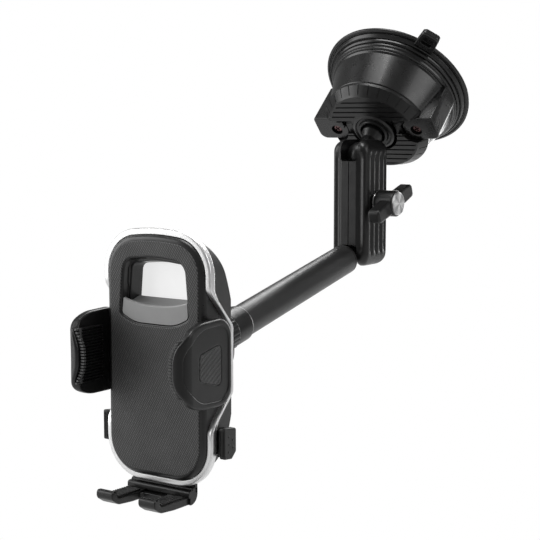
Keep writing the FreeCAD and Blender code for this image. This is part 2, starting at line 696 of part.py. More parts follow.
def sync_pinion():
    """Involute pinion with a tooth towards each rack's tooth gap at rest."""
    pressure = math.radians(20)
    base = PITCH_R * math.cos(pressure)
    root = PITCH_R - 1.15 * GEAR_MODULE
    outer = PITCH_R + 0.85 * GEAR_MODULE
    half_pitch = (math.pi / 2 * GEAR_MODULE - BACKLASH) / (2 * PITCH_R)
    flank = [base + (outer - base) * i / 5 for i in range(6)]
    half_angles = [(root, half_pitch + involute(pressure))]
    half_angles += [(r, half_pitch + involute(pressure) - involute(math.acos(base / r))) for r in flank]
    points = []
    for tooth in range(PINION_TEETH):
        middle = 2 * math.pi * tooth / PINION_TEETH + math.pi / 2
        for r, half in half_angles:
            points.append((r, middle - half))
        for r, half in reversed(half_angles):
            points.append((r, middle + half))
    corners = [V3(r * math.cos(a), RACK_Y[0], PINION_Z + r * math.sin(a)) for r, a in points]
    face = Part.Face(Part.makePolygon(corners + corners[:1]))
    gear = face.extrude(V3(0, RACK_Y[1] - RACK_Y[0], 0))
    hub = rod_y(3.0, (RACK_Y[1], RACK_Y[1] + 0.5), 0, PINION_Z)
    return gear.fuse(hub).cut(rod_y(1.5 + RUN, (-210, -190), 0, PINION_Z))


def rack():
    """Right rack, above the pinion, with its teeth pointing down."""
    pitch = math.pi * GEAR_MODULE
    line = PINION_Z + PITCH_R
    bar = box((-23.2, CLAW_IN), RACK_Y, (line + 0.95, line + 3.6))
    half = (pitch / 2 - BACKLASH) / 2
    slope = math.tan(math.radians(20))
    teeth = []
    for i in range(-7, 7):
        middle = (i + 0.5) * pitch
        root = half + 1.0 * slope
        tip = half - 0.7 * slope
        corners = [V3(middle - root, RACK_Y[0], line + 1.0), V3(middle - tip, RACK_Y[0], line - 0.7),
                   V3(middle + tip, RACK_Y[0], line - 0.7), V3(middle + root, RACK_Y[0], line + 1.0)]
        face = Part.Face(Part.makePolygon(corners + corners[:1]))
        teeth.append(face.extrude(V3(0, RACK_Y[1] - RACK_Y[0], 0)))
    return bar.fuse(teeth).removeSplitter()


def claw():
    """Right claw: side wall and inward lip, tapering towards the front."""
    plan = [(V3(CLAW_IN, CLAW_BACK_Y, CLAW_Z[0]), 0), (V3(CLAW_IN, CLAW_TIP_Y + 3.8, CLAW_Z[0]), 1.5),
            (V3(CLAW_TIP_X, CLAW_TIP_Y + 3.8, CLAW_Z[0]), 0.8), (V3(CLAW_TIP_X, CLAW_TIP_Y, CLAW_Z[0]), 1.1),
            (V3(CLAW_OUT, CLAW_TIP_Y, CLAW_Z[0]), 5.8), (V3(CLAW_OUT, CLAW_BACK_Y, CLAW_Z[0]), 1.0)]
    wall = prism(plan, V3(0, 0, CLAW_Z[1] - CLAW_Z[0]))
    front_y = CLAW_TIP_Y - 0.6
    side = side_profile([(CLAW_BACK_Y, CLAW_Z[0], 8.0), (CLAW_BACK_Y, CLAW_Z[1], 8.0),
                         (front_y + 7.0, CLAW_Z[1] - 3.2, 12.0), (front_y, CLAW_Z[1] - 10.6, 6.0),
                         (front_y, CLAW_Z[0] + 9.7, 6.0), (front_y + 7.0, CLAW_Z[0] + 3.0, 12.0)], 40)
    wall = wall.common(side)
    pad_seat = box((CLAW_IN - 1, CLAW_IN + 0.8), CLAW_PAD_Y, CLAW_PAD_Z)
    wall = wall.cut(inset_outline(0.2, CLAW_OUT - 0.9, 3.0)).cut(pad_seat)
    return wall.removeSplitter()


def inset_outline(grow, x, depth):
    """Rounded four-sided patch on the claw's outer side."""
    back_y = -202.4 + grow
    front_y = -216.8 - grow
    corners = [(V3(x, back_y, -107.2 + grow), 2.4 + grow), (V3(x, front_y, -110.1 + grow), 2.4 + grow),
               (V3(x, front_y, -120.7 - grow), 2.8 + grow), (V3(x, back_y, -124.4 - grow), 2.4 + grow)]
    return prism(corners, V3(depth, 0, 0))


def claw_pad():
    """Ribbed rubber pad on the claw's gripping side."""
    pad = box((CLAW_IN - 0.9, CLAW_IN + 0.8), CLAW_PAD_Y, CLAW_PAD_Z)
    ribs = []
    place = CLAW_PAD_Z[0] + 0.6
    while place < CLAW_PAD_Z[1] - 0.8:
        rib_y = (CLAW_PAD_Y[0] + 0.4, CLAW_PAD_Y[1] - 0.4)
        ribs.append(box((CLAW_IN - 1.6, CLAW_IN - 0.9), rib_y, (place, place + 0.7)))
        place += PAD_RIB_PITCH
    return pad.fuse(ribs).removeSplitter()


def claw_inset():
    """Striped grip patch let into the claw's outer side."""
    return inset_outline(0.0, CLAW_OUT - 0.9, 0.5)


# ---------------------------------------------------------------- release buttons and foot
def release_button():
    low, high = BUTTON_Z
    cap = side_profile([(-202.6, low, 0.8), (-202.6, high, 0.8), (-194.4, high - 1.0, 1.0),
                        (-194.4, low + 0.9, 1.0)], 40)
    root = cap.common(box((27.5, 30.0), (-201.2, -190), (low + 0.4, high - 1.0)))
    cap = cap.common(box((29.5, 32.4), (-210, -190), (-160, -140)))
    for i in range(3):
        x = 30.1 + 0.75 * i
        cap = cap.cut(box((x, x + 0.3), (-203, -202.3), (low + 1, high - 1)))
    cap = cap.fuse(root)
    dots = [(-199.4, -146.1), (-199.4, -149.3), (-199.6, -152.4), (-196.8, -147.7), (-196.6, -150.9)]
    for y, z in dots:
        cap = cap.fuse(rod_x(0.5, (32.3, 32.65), y, z))
    stem = box((22.4, 29.8), (-201.0, -194.5), (BUTTON_Z[0] + 1.9, BUTTON_Z[1] - 1.9))
    catch = box((20.6, 23.2), (-201.0, -197.0), (BUTTON_Z[0] + 1.9, BUTTON_Z[1] + 3.0))
    return cap.fuse(stem).fuse(catch).removeSplitter()


def button_spring():
    spring = spring_sleeve(1.9, 0.5, 6.6)
    spring.rotate(V3(0, 0, 0), V3(0, 1, 0), 90)
    spring.translate(V3(13.8, -198.0, sum(BUTTON_Z) / 2))
    return spring


def foot_bracket():
    slide = box((-FOOT_HALF, FOOT_HALF), (-201.6, -199.8), (-171.6, -152.0))
    shelf = side_profile([(-199.8, -169.2, 0.3), (-203.0, -169.2, 0.3), (-203.0, -170.2, 0),
                          (-205.9, -170.2, 1.2), (-205.9, -172.8, 0.8), (-204.8, -173.2, 0),
                          (-204.8, -176.1, 0), (-199.8, -176.1, 4.6)], FOOT_HALF)
    web = box((-7, 7), (-208.0, -204.0), (-176.0, -173.4))
    foot = slide.fuse(shelf).fuse(web)
    for x in PRONG_X:
        start = x[0]
        prong = prism([(V3(start, -203.6, -172.6), 0), (V3(start, -203.6, -176.1), 0),
                       (V3(start, -214.0, -175.8), 6.0), (V3(start, -223.0, -174.9), 3.0),
                       (V3(start, -227.0, -172.0), 1.6), (V3(start, -226.6, -168.9), 1.0),
                       (V3(start, -223.9, -169.3), 0.8), (V3(start, -223.2, -172.1), 0.8)],
                      V3(x[1] - start, 0, 0))
        foot = foot.fuse(prong)
    return foot.removeSplitter()


def foot_pads():
    pads = []
    for x in PRONG_X:
        start = x[0] + 0.8
        pad = prism([(V3(start, -208.0, -172.45), 0), (V3(start, -221.8, -172.1), 0),
                     (V3(start, -221.8, -171.4), 0), (V3(start, -208.0, -171.75), 0)],
                    V3(x[1] - x[0] - 1.6, 0, 0))
        pads.append(pad)
    return Part.makeCompound(pads)


# ---------------------------------------------------------------- build
def build_base():
    cap = ribbed_cap()
    bracket = pivot_bracket()
    nodes = {"suction_cup": suction_cup(), "clamp_ring": clamp_ring(), "base_housing": base_housing(),
             "right_pivot_bracket": bracket, "left_pivot_bracket": mirror_x(bracket),
             "bracket_screws": bracket_screws(), "lever_pins": lever_pins(), "top_cover": top_cover(cap),
             "lock_lever": lock_lever(cap), "vacuum_plunger": vacuum_plunger(),
             "stud_retainer": stud_retainer(), "ball_stud": ball_stud()}
    return {name: on_base(shape) for name, shape in nodes.items()}


def build_arm():
    left, right = arm_shells()
    return {"arm_left_shell": left, "arm_right_shell": right, "clamp_nut": clamp_nut(),
            "arm_spring": arm_spring(), "knob_washer": knob_washer(), "wing_knob": wing_knob(),
            "knob_cap": knob_cap(), "clamp_bolt": clamp_bolt()}


def build_tube():
    nodes = {"tube_ball": tube_ball(), "tube_end_plug": tube_end_plug(), "outer_tube": outer_tube(),
             "twist_collar": twist_collar(), "inner_tube": inner_tube(), "slide_bush": slide_bush(),
             "cradle_ball": cradle_ball()}
    return {name: on_tube(shape) for name, shape in nodes.items()}


def build_cradle():
    front, back = shells()
    nodes = {"ball_seat": ball_seat(), "ring_nut": ring_nut(), "front_shell": front, "back_shell": back,
             "trim_ring": trim_ring(), "front_pad": front_pad(), "window_ramp": window_ramp(),
             "window_panel": window_panel(), "case_screws": case_screws(), "pinion_pin": pinion_pin(),
             "sync_pinion": sync_pinion(), "foot_bracket": foot_bracket(), "foot_pads": foot_pads()}
    half_turn = (V3(0, 0, PINION_Z), V3(0, 1, 0), 180)
    left_rack = rack()
    left_rack.rotate(*half_turn)
    nodes["right_rack"] = rack()
    nodes["left_rack"] = left_rack
    for name, shape in (("claw", claw()), ("claw_pad", claw_pad()), ("claw_inset", claw_inset()),
                        ("release_button", release_button()), ("button_spring", button_spring())):
        nodes["right_" + name] = shape
        nodes["left_" + name] = mirror_x(shape)
    return nodes


def main():
    os.makedirs("parts", exist_ok=True)
    for build in (build_base, build_arm, build_tube, build_cradle):
        for name, shape in build().items():
            save(name, shape)


main()
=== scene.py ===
import json
import math

import bmesh
import bpy
from mathutils import Matrix, Vector


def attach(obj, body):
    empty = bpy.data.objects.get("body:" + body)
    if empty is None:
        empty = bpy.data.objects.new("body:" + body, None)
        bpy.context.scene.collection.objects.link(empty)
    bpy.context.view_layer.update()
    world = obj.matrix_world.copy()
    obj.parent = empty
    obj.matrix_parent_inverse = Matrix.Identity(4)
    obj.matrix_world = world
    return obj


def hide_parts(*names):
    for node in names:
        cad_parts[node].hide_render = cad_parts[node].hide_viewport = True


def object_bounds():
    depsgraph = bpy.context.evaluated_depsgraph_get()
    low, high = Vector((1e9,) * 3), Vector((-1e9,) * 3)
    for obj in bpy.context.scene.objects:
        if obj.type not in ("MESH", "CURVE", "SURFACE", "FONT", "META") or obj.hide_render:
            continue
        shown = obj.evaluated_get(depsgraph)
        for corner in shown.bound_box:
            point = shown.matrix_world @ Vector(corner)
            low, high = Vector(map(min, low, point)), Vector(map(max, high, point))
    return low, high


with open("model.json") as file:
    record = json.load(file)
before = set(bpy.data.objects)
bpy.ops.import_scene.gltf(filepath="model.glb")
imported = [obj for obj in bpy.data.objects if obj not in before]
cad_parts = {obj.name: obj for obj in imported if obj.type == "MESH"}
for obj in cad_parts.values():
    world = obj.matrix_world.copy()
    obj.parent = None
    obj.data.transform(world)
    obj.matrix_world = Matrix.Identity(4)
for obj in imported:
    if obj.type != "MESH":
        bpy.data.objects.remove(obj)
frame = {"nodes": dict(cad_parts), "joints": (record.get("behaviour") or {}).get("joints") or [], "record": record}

CAD_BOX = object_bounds()
MM = 0.001
NODES = frame["nodes"]
JOINTS = {joint["name"]: joint for joint in frame["joints"]}
SLOT_OF = {part["node"]: part["material_slot"] for part in frame["record"]["subparts"]}
BODY_OF = {node: body for body, nodes in frame["record"]["behaviour"]["bodies"].items() for node in nodes}


# ---------- local frames, in millimetres
def frame_matrix(origin, z_axis, x_axis=(1, 0, 0)):
    """From a local frame in millimetres, given by its origin and two axes, to metres."""
    z = Vector(z_axis).normalized()
    x = Vector(x_axis).normalized()
    turn = Matrix((x, z.cross(x), z)).transposed().to_4x4()
    return Matrix.Translation(Vector(origin)) @ turn @ Matrix.Scale(MM, 4)


BASE = frame_matrix((0, 0, 0), JOINTS["stud_swivel"]["axis"])
TUBE = frame_matrix(JOINTS["tube_tilt"]["pos_m"], JOINTS["tube_roll"]["axis"])
WORLD = Matrix.Scale(MM, 4)
ALONG_X = Matrix(((0, 0, 1), (1, 0, 0), (0, 1, 0))).to_4x4()    # local Z becomes X, X becomes Y
SWAP_YZ = Matrix(((1, 0, 0), (0, 0, 1), (0, 1, 0))).to_4x4()    # local Y and Z change places
MIRROR = Matrix.Scale(-1, 4, (1, 0, 0))
HIT_SLACK = 1e-4      # share of an edge, so that a ray through a corner hits
SAME_ANGLE = 0.004    # radians
SAME_POINT = 1e-5
NO_LENGTH = 1e-6


# ---------- outlines
def rounded(corners, steps=8, closed=True):
    """Points along a line through (x, y, radius) corners, each rounded by an arc."""
    points = []
    count = len(corners)
    for i, (x, y, radius) in enumerate(corners):
        here = Vector((x, y))
        if radius <= 0 or (not closed and i in (0, count - 1)):
            points.append(here)
            continue
        before = (Vector(corners[i - 1][:2]) - here).normalized()
        after = (Vector(corners[(i + 1) % count][:2]) - here).normalized()
        half = before.angle(after) / 2
        start = here + before * (radius / math.tan(half))
        centre = here + (before + after).normalized() * (radius / math.sin(half))
        spin = start - centre
        sweep = math.pi - 2 * half
        sign = 1 if before.x * after.y - before.y * after.x < 0 else -1
        for k in range(steps + 1):
            a = sign * sweep * k / steps
            points.append(centre + Vector((spin.x * math.cos(a) - spin.y * math.sin(a),
                                           spin.x * math.sin(a) + spin.y * math.cos(a))))
    return points


def quarter(count):
    """Angles over a quarter turn."""
    return [math.pi / 2 * k / count for k in range(count + 1)]


def ray_hit(outline, centre, angle):
    """Where a ray from the centre leaves an outline."""
    way = Vector((math.cos(angle), math.sin(angle)))
    best = 0.0
    for i, a in enumerate(outline):
        edge = outline[(i + 1) % len(outline)] - a
        cross = way.x * edge.y - way.y * edge.x
        if abs(cross) < 1e-12:
            continue
        gap = a - centre
        along = (gap.x * edge.y - gap.y * edge.x) / cross
        share = (gap.x * way.y - gap.y * way.x) / cross
        if -HIT_SLACK <= share <= 1 + HIT_SLACK:
            best = max(best, along)
    return centre + way * best


def shared_angles(centre, *outlines):
    """Directions from the centre to every point of the outlines, without near repeats."""
    angles = sorted(math.atan2(p.y - centre.y, p.x - centre.x) for line in outlines for p in line)
    kept = [angles[0]]
    for angle in angles[1:]:
        if angle - kept[-1] > SAME_ANGLE:
            kept.append(angle)
    return kept


# ---------- meshes
def new_object(name, bm):
    mesh = bpy.data.meshes.new(name)
    bmesh.ops.recalc_face_normals(bm, faces=bm.faces)
    bm.to_mesh(mesh)
    bm.free()
    obj = bpy.data.objects.new(name, mesh)
    bpy.context.scene.collection.objects.link(obj)
    return obj


def skin(name, rings, closed=False, capped=True):
    """Solid skinned over rings with equal point counts. Closed joins the last ring to the first."""
    bm = bmesh.new()
    rows = [[bm.verts.new(p) for p in ring] for ring in rings]
    pairs = list(zip(rows, rows[1:])) + ([(rows[-1], rows[0])] if closed else [])
    count = len(rows[0])
    for low, high in pairs:
        for i in range(count):
            j = (i + 1) % count
            bm.faces.new((low[i], low[j], high[j], high[i]))
    if capped and not closed:
        bm.faces.new(rows[0])
        bm.faces.new(rows[-1])
    bmesh.ops.remove_doubles(bm, verts=bm.verts, dist=SAME_POINT)
    bmesh.ops.dissolve_degenerate(bm, edges=bm.edges, dist=NO_LENGTH)
    return new_object(name, bm)


def lathe(name, corners, steps=96, arc=4, closed=False):
    """Solid of revolution about Z from (radius, height, rounding) corners."""
    line = rounded(corners, arc, closed)
    turns = [2 * math.pi * i / steps for i in range(steps)]
    rings = [[Vector((p.x * math.cos(a), p.x * math.sin(a), p.y)) for a in turns] for p in line]
    return skin(name, rings, closed, capped=line[0].x > 1e-4 or line[-1].x > 1e-4)


def rod(radius, low, high, steps):
    """Plain cylinder about Z, used to cut with."""
    return lathe("rod", [(0, low, 0), (radius, low, 0), (radius, high, 0), (0, high, 0)], steps)


def extrude(name, outline, low, high, edge=0.0, steps=3):
    """Upright prism of an outline, its two rims rounded by shrinking the outline."""
    area = sum(a.x * b.y - b.x * a.y for a, b in zip(outline, outline[1:] + outline[:1]))
    outline = outline if area > 0 else outline[::-1]
    levels = [(0.0, low), (0.0, high)]
    if edge > 0:
        arc = [(edge * (1 - math.cos(a)), edge * (1 - math.sin(a))) for a in quarter(steps)]
        levels = [(a, low + b) for b, a in arc] + [(a, high - b) for b, a in reversed(arc)]
    return skin(name, [[Vector((p.x, p.y, z)) for p in shrink(outline, inset)] for inset, z in levels])


def shrink(outline, inset):
    """Outline moved in along its corner bisectors. The outline runs anticlockwise."""
    if inset == 0:
        return outline
    moved = []
    count = len(outline)
    for i, point in enumerate(outline):
        a = (point - outline[i - 1]).normalized()
        b = (outline[(i + 1) % count] - point).normalized()
        normal = Vector((-(a.y + b.y), a.x + b.x)).normalized()
        cosine = max(0.5, math.sqrt(max(0.0, (1 + a.dot(b)) / 2)))
        moved.append(point + normal * inset / cosine)
    return moved


def apply_modifiers(obj):
    depsgraph = bpy.context.evaluated_depsgraph_get()
    mesh = bpy.data.meshes.new_from_object(obj.evaluated_get(depsgraph))
    obj.modifiers.clear()
    obj.data = mesh
    return obj


def combine(obj, others, operation="DIFFERENCE"):
    """Exact boolean of an object with others, which are used up."""
    for other in others:
        modifier = obj.modifiers.new("cut", "BOOLEAN")
        modifier.object = other
        modifier.operation = operation
        modifier.solver = "EXACT"
    apply_modifiers(obj)
    for other in others:
        bpy.data.objects.remove(other)
    return obj


def soften(obj, width, segments=2, angle=30):
    """Rounds every edge sharper than the angle by a width in the object's own units."""
    modifier = obj.modifiers.new("edges", "BEVEL")
    modifier.width = width
    modifier.segments = segments
    modifier.limit_method = "ANGLE"
    modifier.angle_limit = math.radians(angle)
    modifier.harden_normals = False
    return apply_modifiers(obj)


def move(obj, matrix):
    obj.data.transform(matrix)
    if matrix.determinant() < 0:
        obj.data.flip_normals()
    return obj


def join(obj, others):
    """One mesh out of several objects in the same frame."""
    bm = bmesh.new()
    for each in [obj] + others:
        bm.from_mesh(each.data)
    bm.to_mesh(obj.data)
    bm.free()
    for other in others:
        bpy.data.objects.remove(other)
    return obj


def piece(obj, nodes, material=None, matrix=WORLD, sharp=32):
    """Puts a finished mesh in place of CAD nodes, on their body, with their slot's finish."""
    nodes = [nodes] if isinstance(nodes, str) else nodes
    move(obj, matrix)
    slot = SLOT_OF[nodes[0]]
    obj.data.materials.clear()
    obj.data.materials.append(material or MATERIALS[slot])
    obj.data.polygons.foreach_set("use_smooth", [True] * len(obj.data.polygons))
    obj.data.set_sharp_from_angle(angle=math.radians(sharp))
    weighted = obj.modifiers.new("weighted", "WEIGHTED_NORMAL")
    weighted.keep_sharp = True
    apply_modifiers(obj)
    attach(obj, BODY_OF[nodes[0]])
    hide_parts(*nodes)
    return obj


def refined(node, width, flat, angle=30, segments=2, material=None):
    """The CAD node's own shape as a piece, cleaned and with its edges rounded."""
    bm = bmesh.new()
    bm.from_mesh(NODES[node].data)
    bmesh.ops.scale(bm, vec=(1000, 1000, 1000), verts=bm.verts)
    bmesh.ops.remove_doubles(bm, verts=bm.verts, dist=2e-3)
    bmesh.ops.dissolve_limit(bm, angle_limit=math.radians(flat), verts=bm.verts, edges=bm.edges)
    return piece(soften(new_object("fine_" + node, bm), width, segments, angle), node, material)


# ---------- materials
class Finish:
    """A principled material built on object coordinates in millimetres."""

    def __init__(self, name, rough, metallic=0.0, coat=0.0, specular=0.5):
        self.material = bpy.data.materials.new(name)
        self.material.use_nodes = True
        self.tree = self.material.node_tree
        self.shader = self.tree.nodes["Principled BSDF"]
        for socket, value in (("Roughness", rough), ("Metallic", metallic), ("Coat Weight", coat),
                              ("Coat Roughness", 0.08), ("Specular IOR Level", specular)):
            self.shader.inputs[socket].default_value = value
        place = self.tree.nodes.new("ShaderNodeTexCoord").outputs["Object"]
        self.place = self.node("ShaderNodeVectorMath", {0: place, "Scale": 1000.0}, operation="SCALE")

    def node(self, kind, inputs, output=0, **settings):
        made = self.tree.nodes.new(kind)
        for key, value in settings.items():
            setattr(made, key, value)
        for socket, value in inputs.items():
            if isinstance(value, bpy.types.NodeSocket):
                self.tree.links.new(value, made.inputs[socket])
            else:
                made.inputs[socket].default_value = value
        return made.outputs[output]

    def maths(self, operation, a, b=0.0):
        """A MULTIPLY_ADD adds the 0.5 that its third socket starts with."""
        return self.node("ShaderNodeMath", {0: a, 1: b}, operation=operation)

    def noise(self, pitch, detail=3.0, rough=0.5):
        """Cloudy noise whose cells are about pitch millimetres across."""
        return self.node("ShaderNodeTexNoise", {"Vector": self.place, "Scale": 1.0 / pitch,
                                                "Detail": detail, "Roughness": rough})

    def axis(self, name):
        return self.node("ShaderNodeSeparateXYZ", {0: self.place}, output=name)

    def wave(self, value, pitch):
        """Smooth 0 to 1 wave of a length in millimetres."""
        turned = self.maths("SINE", self.maths("MULTIPLY", value, 2 * math.pi / pitch))
        return self.maths("MULTIPLY_ADD", turned, 0.5)

    def span(self, value, low, high, start=0.3, end=0.7):
        return self.node("ShaderNodeMapRange", {"Value": value, "From Min": start, "From Max": end,
                                                "To Min": low, "To Max": high})

    def colour(self, factor, dark, light):
        mix = self.tree.nodes.new("ShaderNodeMix")
        mix.data_type = "RGBA"
        self.tree.links.new(factor, mix.inputs[0])
        mix.inputs[6].default_value = (*dark, 1)
        mix.inputs[7].default_value = (*light, 1)
        return mix.outputs[2]

    def paint(self, colour):
        self.tree.links.new(colour, self.shader.inputs["Base Color"])

    def polish(self, factor, low, high):
        self.tree.links.new(self.span(factor, low, high), self.shader.inputs["Roughness"])

    def painted_glow(self, level):
        """Painted light: makes a pale finish glow evenly, as bright as a lit surface, though it is no lamp."""
        self.shader.inputs["Emission Color"].default_value = (1, 1, 1, 1)
        self.shader.inputs["Emission Strength"].default_value = level
        return self

    def relief(self, height, depth):
        """Surface relief of a depth in millimetres, added to any before it."""
        made = self.tree.nodes.new("ShaderNodeBump")
        made.inputs["Distance"].default_value = depth * MM
        self.tree.links.new(height, made.inputs["Height"])
        target = self.shader.inputs["Normal"]
        if target.is_linked:
            self.tree.links.new(target.links[0].from_socket, made.inputs["Normal"])
        self.tree.links.new(made.outputs[0], target)


def moulding(name, dark, light, rough, grain, coat=0.0, specular=0.5):
    """Injection moulding: flow marks, fine grain and uneven gloss."""
    finish = Finish(name, rough[0], coat=coat, specular=specular)
    flow = finish.maths("MULTIPLY_ADD", finish.noise(1.6, 5, 0.7), 0.4)
    finish.paint(finish.colour(finish.span(finish.maths("MULTIPLY", flow, finish.noise(9.0)), 0, 1, 0.3, 0.6),
                               grey(dark), grey(light)))
    finish.polish(finish.noise(4.0, 5, 0.6), *rough)
    finish.relief(finish.noise(0.22, 2), grain)
    finish.relief(finish.noise(14.0, 1), 0.05)
    return finish.material


def metal(name, dark, light, rough, grain=0.004):
    """Plated metal with faint cloudiness and fine scuffs."""
    finish = Finish(name, rough[0], metallic=1.0)
    finish.paint(finish.colour(finish.span(finish.noise(5.0), 0, 1), dark, light))
    finish.polish(finish.noise(1.5, 5, 0.65), *rough)
    finish.relief(finish.noise(0.5, 4, 0.7), grain)
    return finish.material


def woven(name):
    """Fine diagonal twill: slanting ridges broken into short floats."""
    finish = Finish(name, 0.5, specular=0.4)
    x = finish.axis("X")
    z = finish.axis("Z")
    across = finish.maths("ADD", finish.maths("MULTIPLY", x, 0.77), finish.maths("MULTIPLY", z, 0.64))
    along = finish.maths("SUBTRACT", finish.maths("MULTIPLY", x, 0.64), finish.maths("MULTIPLY", z, 0.77))
    ridge = finish.wave(across, 0.92)
    floats = finish.wave(finish.maths("ADD", along, finish.maths("MULTIPLY", across, 0.5)), 1.5)
    height = finish.maths("MULTIPLY", ridge, finish.maths("MULTIPLY_ADD", floats, 0.6))
    cloud = finish.maths("MULTIPLY", finish.noise(11.0, 3), 0.35)
    shade = finish.maths("ADD", finish.maths("MULTIPLY", height, 0.8), cloud)
    finish.paint(finish.colour(shade, (0.011, 0.011, 0.011), (0.105, 0.105, 0.105)))
    finish.polish(shade, 0.62, 0.42)
    finish.relief(height, 0.07)
    return finish.material


def grip_rubber(name):
    """Matt black rubber, paler towards the front, where it wraps the lips."""
    finish = Finish(name, 0.36, specular=0.4)
    # paler towards the front of the lips, broken up by noise
    paler_front = finish.span(finish.axis("Y"), 1.0, 0.0, -223.6, -221.6)
    paler_front = finish.maths("MULTIPLY", paler_front, finish.span(finish.noise(2.4, 3), 0.75, 1.0))
    finish.paint(finish.colour(paler_front, grey(0.004), grey(0.085)))
    finish.polish(finish.noise(1.2, 4), 0.34, 0.46)
    finish.relief(finish.noise(0.3, 2), 0.002)
    return finish.material


def turned_metal(name, centre):
    """Disc brushed round its centre on the X axis: fine circular scratches, plus bright and dark sectors painted
    into its colour as a painted reflection.
    """
    finish = Finish(name, 0.26, metallic=1.0)
    offset = finish.node("ShaderNodeVectorMath", {0: finish.place, 1: centre}, operation="SUBTRACT")
    parts = [finish.node("ShaderNodeSeparateXYZ", {0: offset}, output=axis) for axis in ("Y", "Z")]
    square = finish.maths("ADD", finish.maths("POWER", parts[0], 2.0), finish.maths("POWER", parts[1], 2.0))
    radius = finish.maths("SQRT", square)
    rings = finish.node("ShaderNodeTexNoise", {"W": radius, "Scale": 9.0, "Detail": 4.0},
                        noise_dimensions="1D")
    angle = finish.node("ShaderNodeMath", {0: parts[0], 1: parts[1]}, operation="ARCTAN2")
    sweep = finish.node("ShaderNodeTexNoise", {"W": angle, "Scale": 2.6, "Detail": 1.0},
                        noise_dimensions="1D")
    # painted reflection: four bright and dark sectors round the centre stand in for the light that brushed metal
    # throws back
    painted_reflection_fan = finish.wave(finish.maths("ADD", angle, finish.maths("MULTIPLY", sweep, 0.6)), math.pi / 2)
    shade = finish.maths("ADD", finish.maths("MULTIPLY", painted_reflection_fan, 0.55), finish.maths("MULTIPLY", rings, 0.45))
    finish.paint(finish.colour(shade, (0.24, 0.24, 0.245), (0.95, 0.95, 0.95)))
    finish.polish(sweep, 0.34, 0.5)
    finish.relief(rings, 0.02)
    return finish.material


def grey(level):
    return (level, level, level)


def painted_glow_panel(name):
    """Milky panel, faintly mottled, with a painted glow that keeps it bright in its deep recess, where it lies in
    shade.
    """
    finish = Finish(name, 0.3, specular=0.2)
    finish.paint(finish.colour(finish.span(finish.noise(3.0, 4), 0, 1), grey(0.34), grey(0.38)))
    finish.polish(finish.noise(2.0, 4), 0.25, 0.35)
    # painted light: the panel glows although it is no lamp
    return finish.painted_glow(0.70).material


KNOB_CENTRE = tuple(1000 * c for c in JOINTS["knob_turn"]["pos_m"])
MOULDINGS = {              # dark and light level, roughness, grain in mm, coat, specular
    "satin_black": (0.005, 0.008, (0.28, 0.40), 0.004, 0.0, 0.45),
    "shell_black": (0.028, 0.036, (0.36, 0.46), 0.004),
    "plate_black": (0.009, 0.013, (0.26, 0.36), 0.003),
    "gloss_black": (0.006, 0.009, (0.25, 0.32), 0.0002, 0.1),
    "cup_rubber": (0.008, 0.012, (0.20, 0.30), 0.003),
    "painted_tube": (0.015, 0.019, (0.36, 0.42), 0.0004),
    "grey_lip": (0.29, 0.31, (0.30, 0.36), 0.0006),
    "striped_inset": (0.030, 0.042, (0.3, 0.4), 0.002),
}
MATERIALS = {
    **{name: moulding(name, *look) for name, look in MOULDINGS.items()},
    "pad_rubber": grip_rubber("pad_rubber"),
    "woven_pad": woven("woven_pad"),
    "pale_panel": painted_glow_panel("pale_panel"),
    "silver_trim": metal("silver_trim", grey(0.80), grey(0.86), (0.34, 0.42), grain=0.0004),
    "bright_steel": metal("bright_steel", grey(0.5), grey(0.62), (0.2, 0.32)),
    "dark_steel": metal("dark_steel", (0.10, 0.055, 0.055), (0.16, 0.10, 0.10), (0.25, 0.38)),
    "brushed_cap": turned_metal("brushed_cap", KNOB_CENTRE),
}


def dress_cad_nodes():
    """Every carried-over CAD node gets the finish of its slot."""
    for name, node in NODES.items():
        node.data.materials.clear()
        node.data.materials.append(MATERIALS[SLOT_OF[name]])


# ---------- cradle shells
SHELL_HALF = 26.0
SHELL_Z = (-166.8, -63.5)
SHELL_CORNER = (15.8, 16.0)
TOP_BOW = 2.4              # how far the top edge bows up in its middle
TOP_BOW_R = 90.0
FACE_Y = -207.0
PARTING = [(-50, -204.2), (-86, -204.2), (-90, -201.5), (-101.5, -191.0),
           (-129.5, -191.0), (-140, -201.5), (-144, -203.6), (-180, -203.6)]
PLATE_MIDDLE = Vector((0, -87.5))
PLATE_IN = 0.6             # the plate lies this far inside the shells' outline
EDGE_WIDE = 2.4            # smooth border round the plate, across and in depth
EDGE_DEEP = 2.3
LEDGE_Y = -203.4          # step inside the window
PANEL_Y = (-197.5, -196.2)
WINDOW_TAPER = 0.16        # how fast the window narrows with depth


def shell_outline(grow):
    half = SHELL_HALF + grow
    low, high = SHELL_Z[0] - grow, SHELL_Z[1] + grow
    bottom, top = SHELL_CORNER[0] + grow, SHELL_CORNER[1] + grow
    shoulder = high - TOP_BOW
    return rounded([(-half, low, bottom), (half, low, bottom), (half, shoulder, top),
                    (0, high, TOP_BOW_R), (-half, shoulder, top)], 16)


def window_outline(grow):
    """Window narrower at the top, with a bowed head and foot, offset by a distance."""
    outline = rounded([(-17.6, -98.2, 2.2), (-10.6, -101.6, 18.0), (10.6, -101.6, 18.0),
                       (17.6, -98.2, 2.2), (15.6, -75.3, 5.6), (0, -73.8, 60.0), (-15.6, -75.3, 5.6)], 10)
    return shrink(outline, -grow)


def parting_y(z):
    """Depth of the parting line at a height, its corners rounded."""
    line = rounded([(a, b, 3.0) for a, b in PARTING], 6, closed=False)
    for high, low in zip(line, line[1:]):
        if low.x <= z <= high.x:
            return high.y + (low.y - high.y) * (high.x - z) / max(high.x - low.x, 1e-9)
    return line[-1].y


def plate_angles():
    edges = [Vector((side * SHELL_HALF, z)) for side in (-1, 1)
             for z in [-84.0 - 1.1 * k for k in range(58)]]
    return shared_angles(PLATE_MIDDLE, shell_outline(0), window_outline(0), edges)


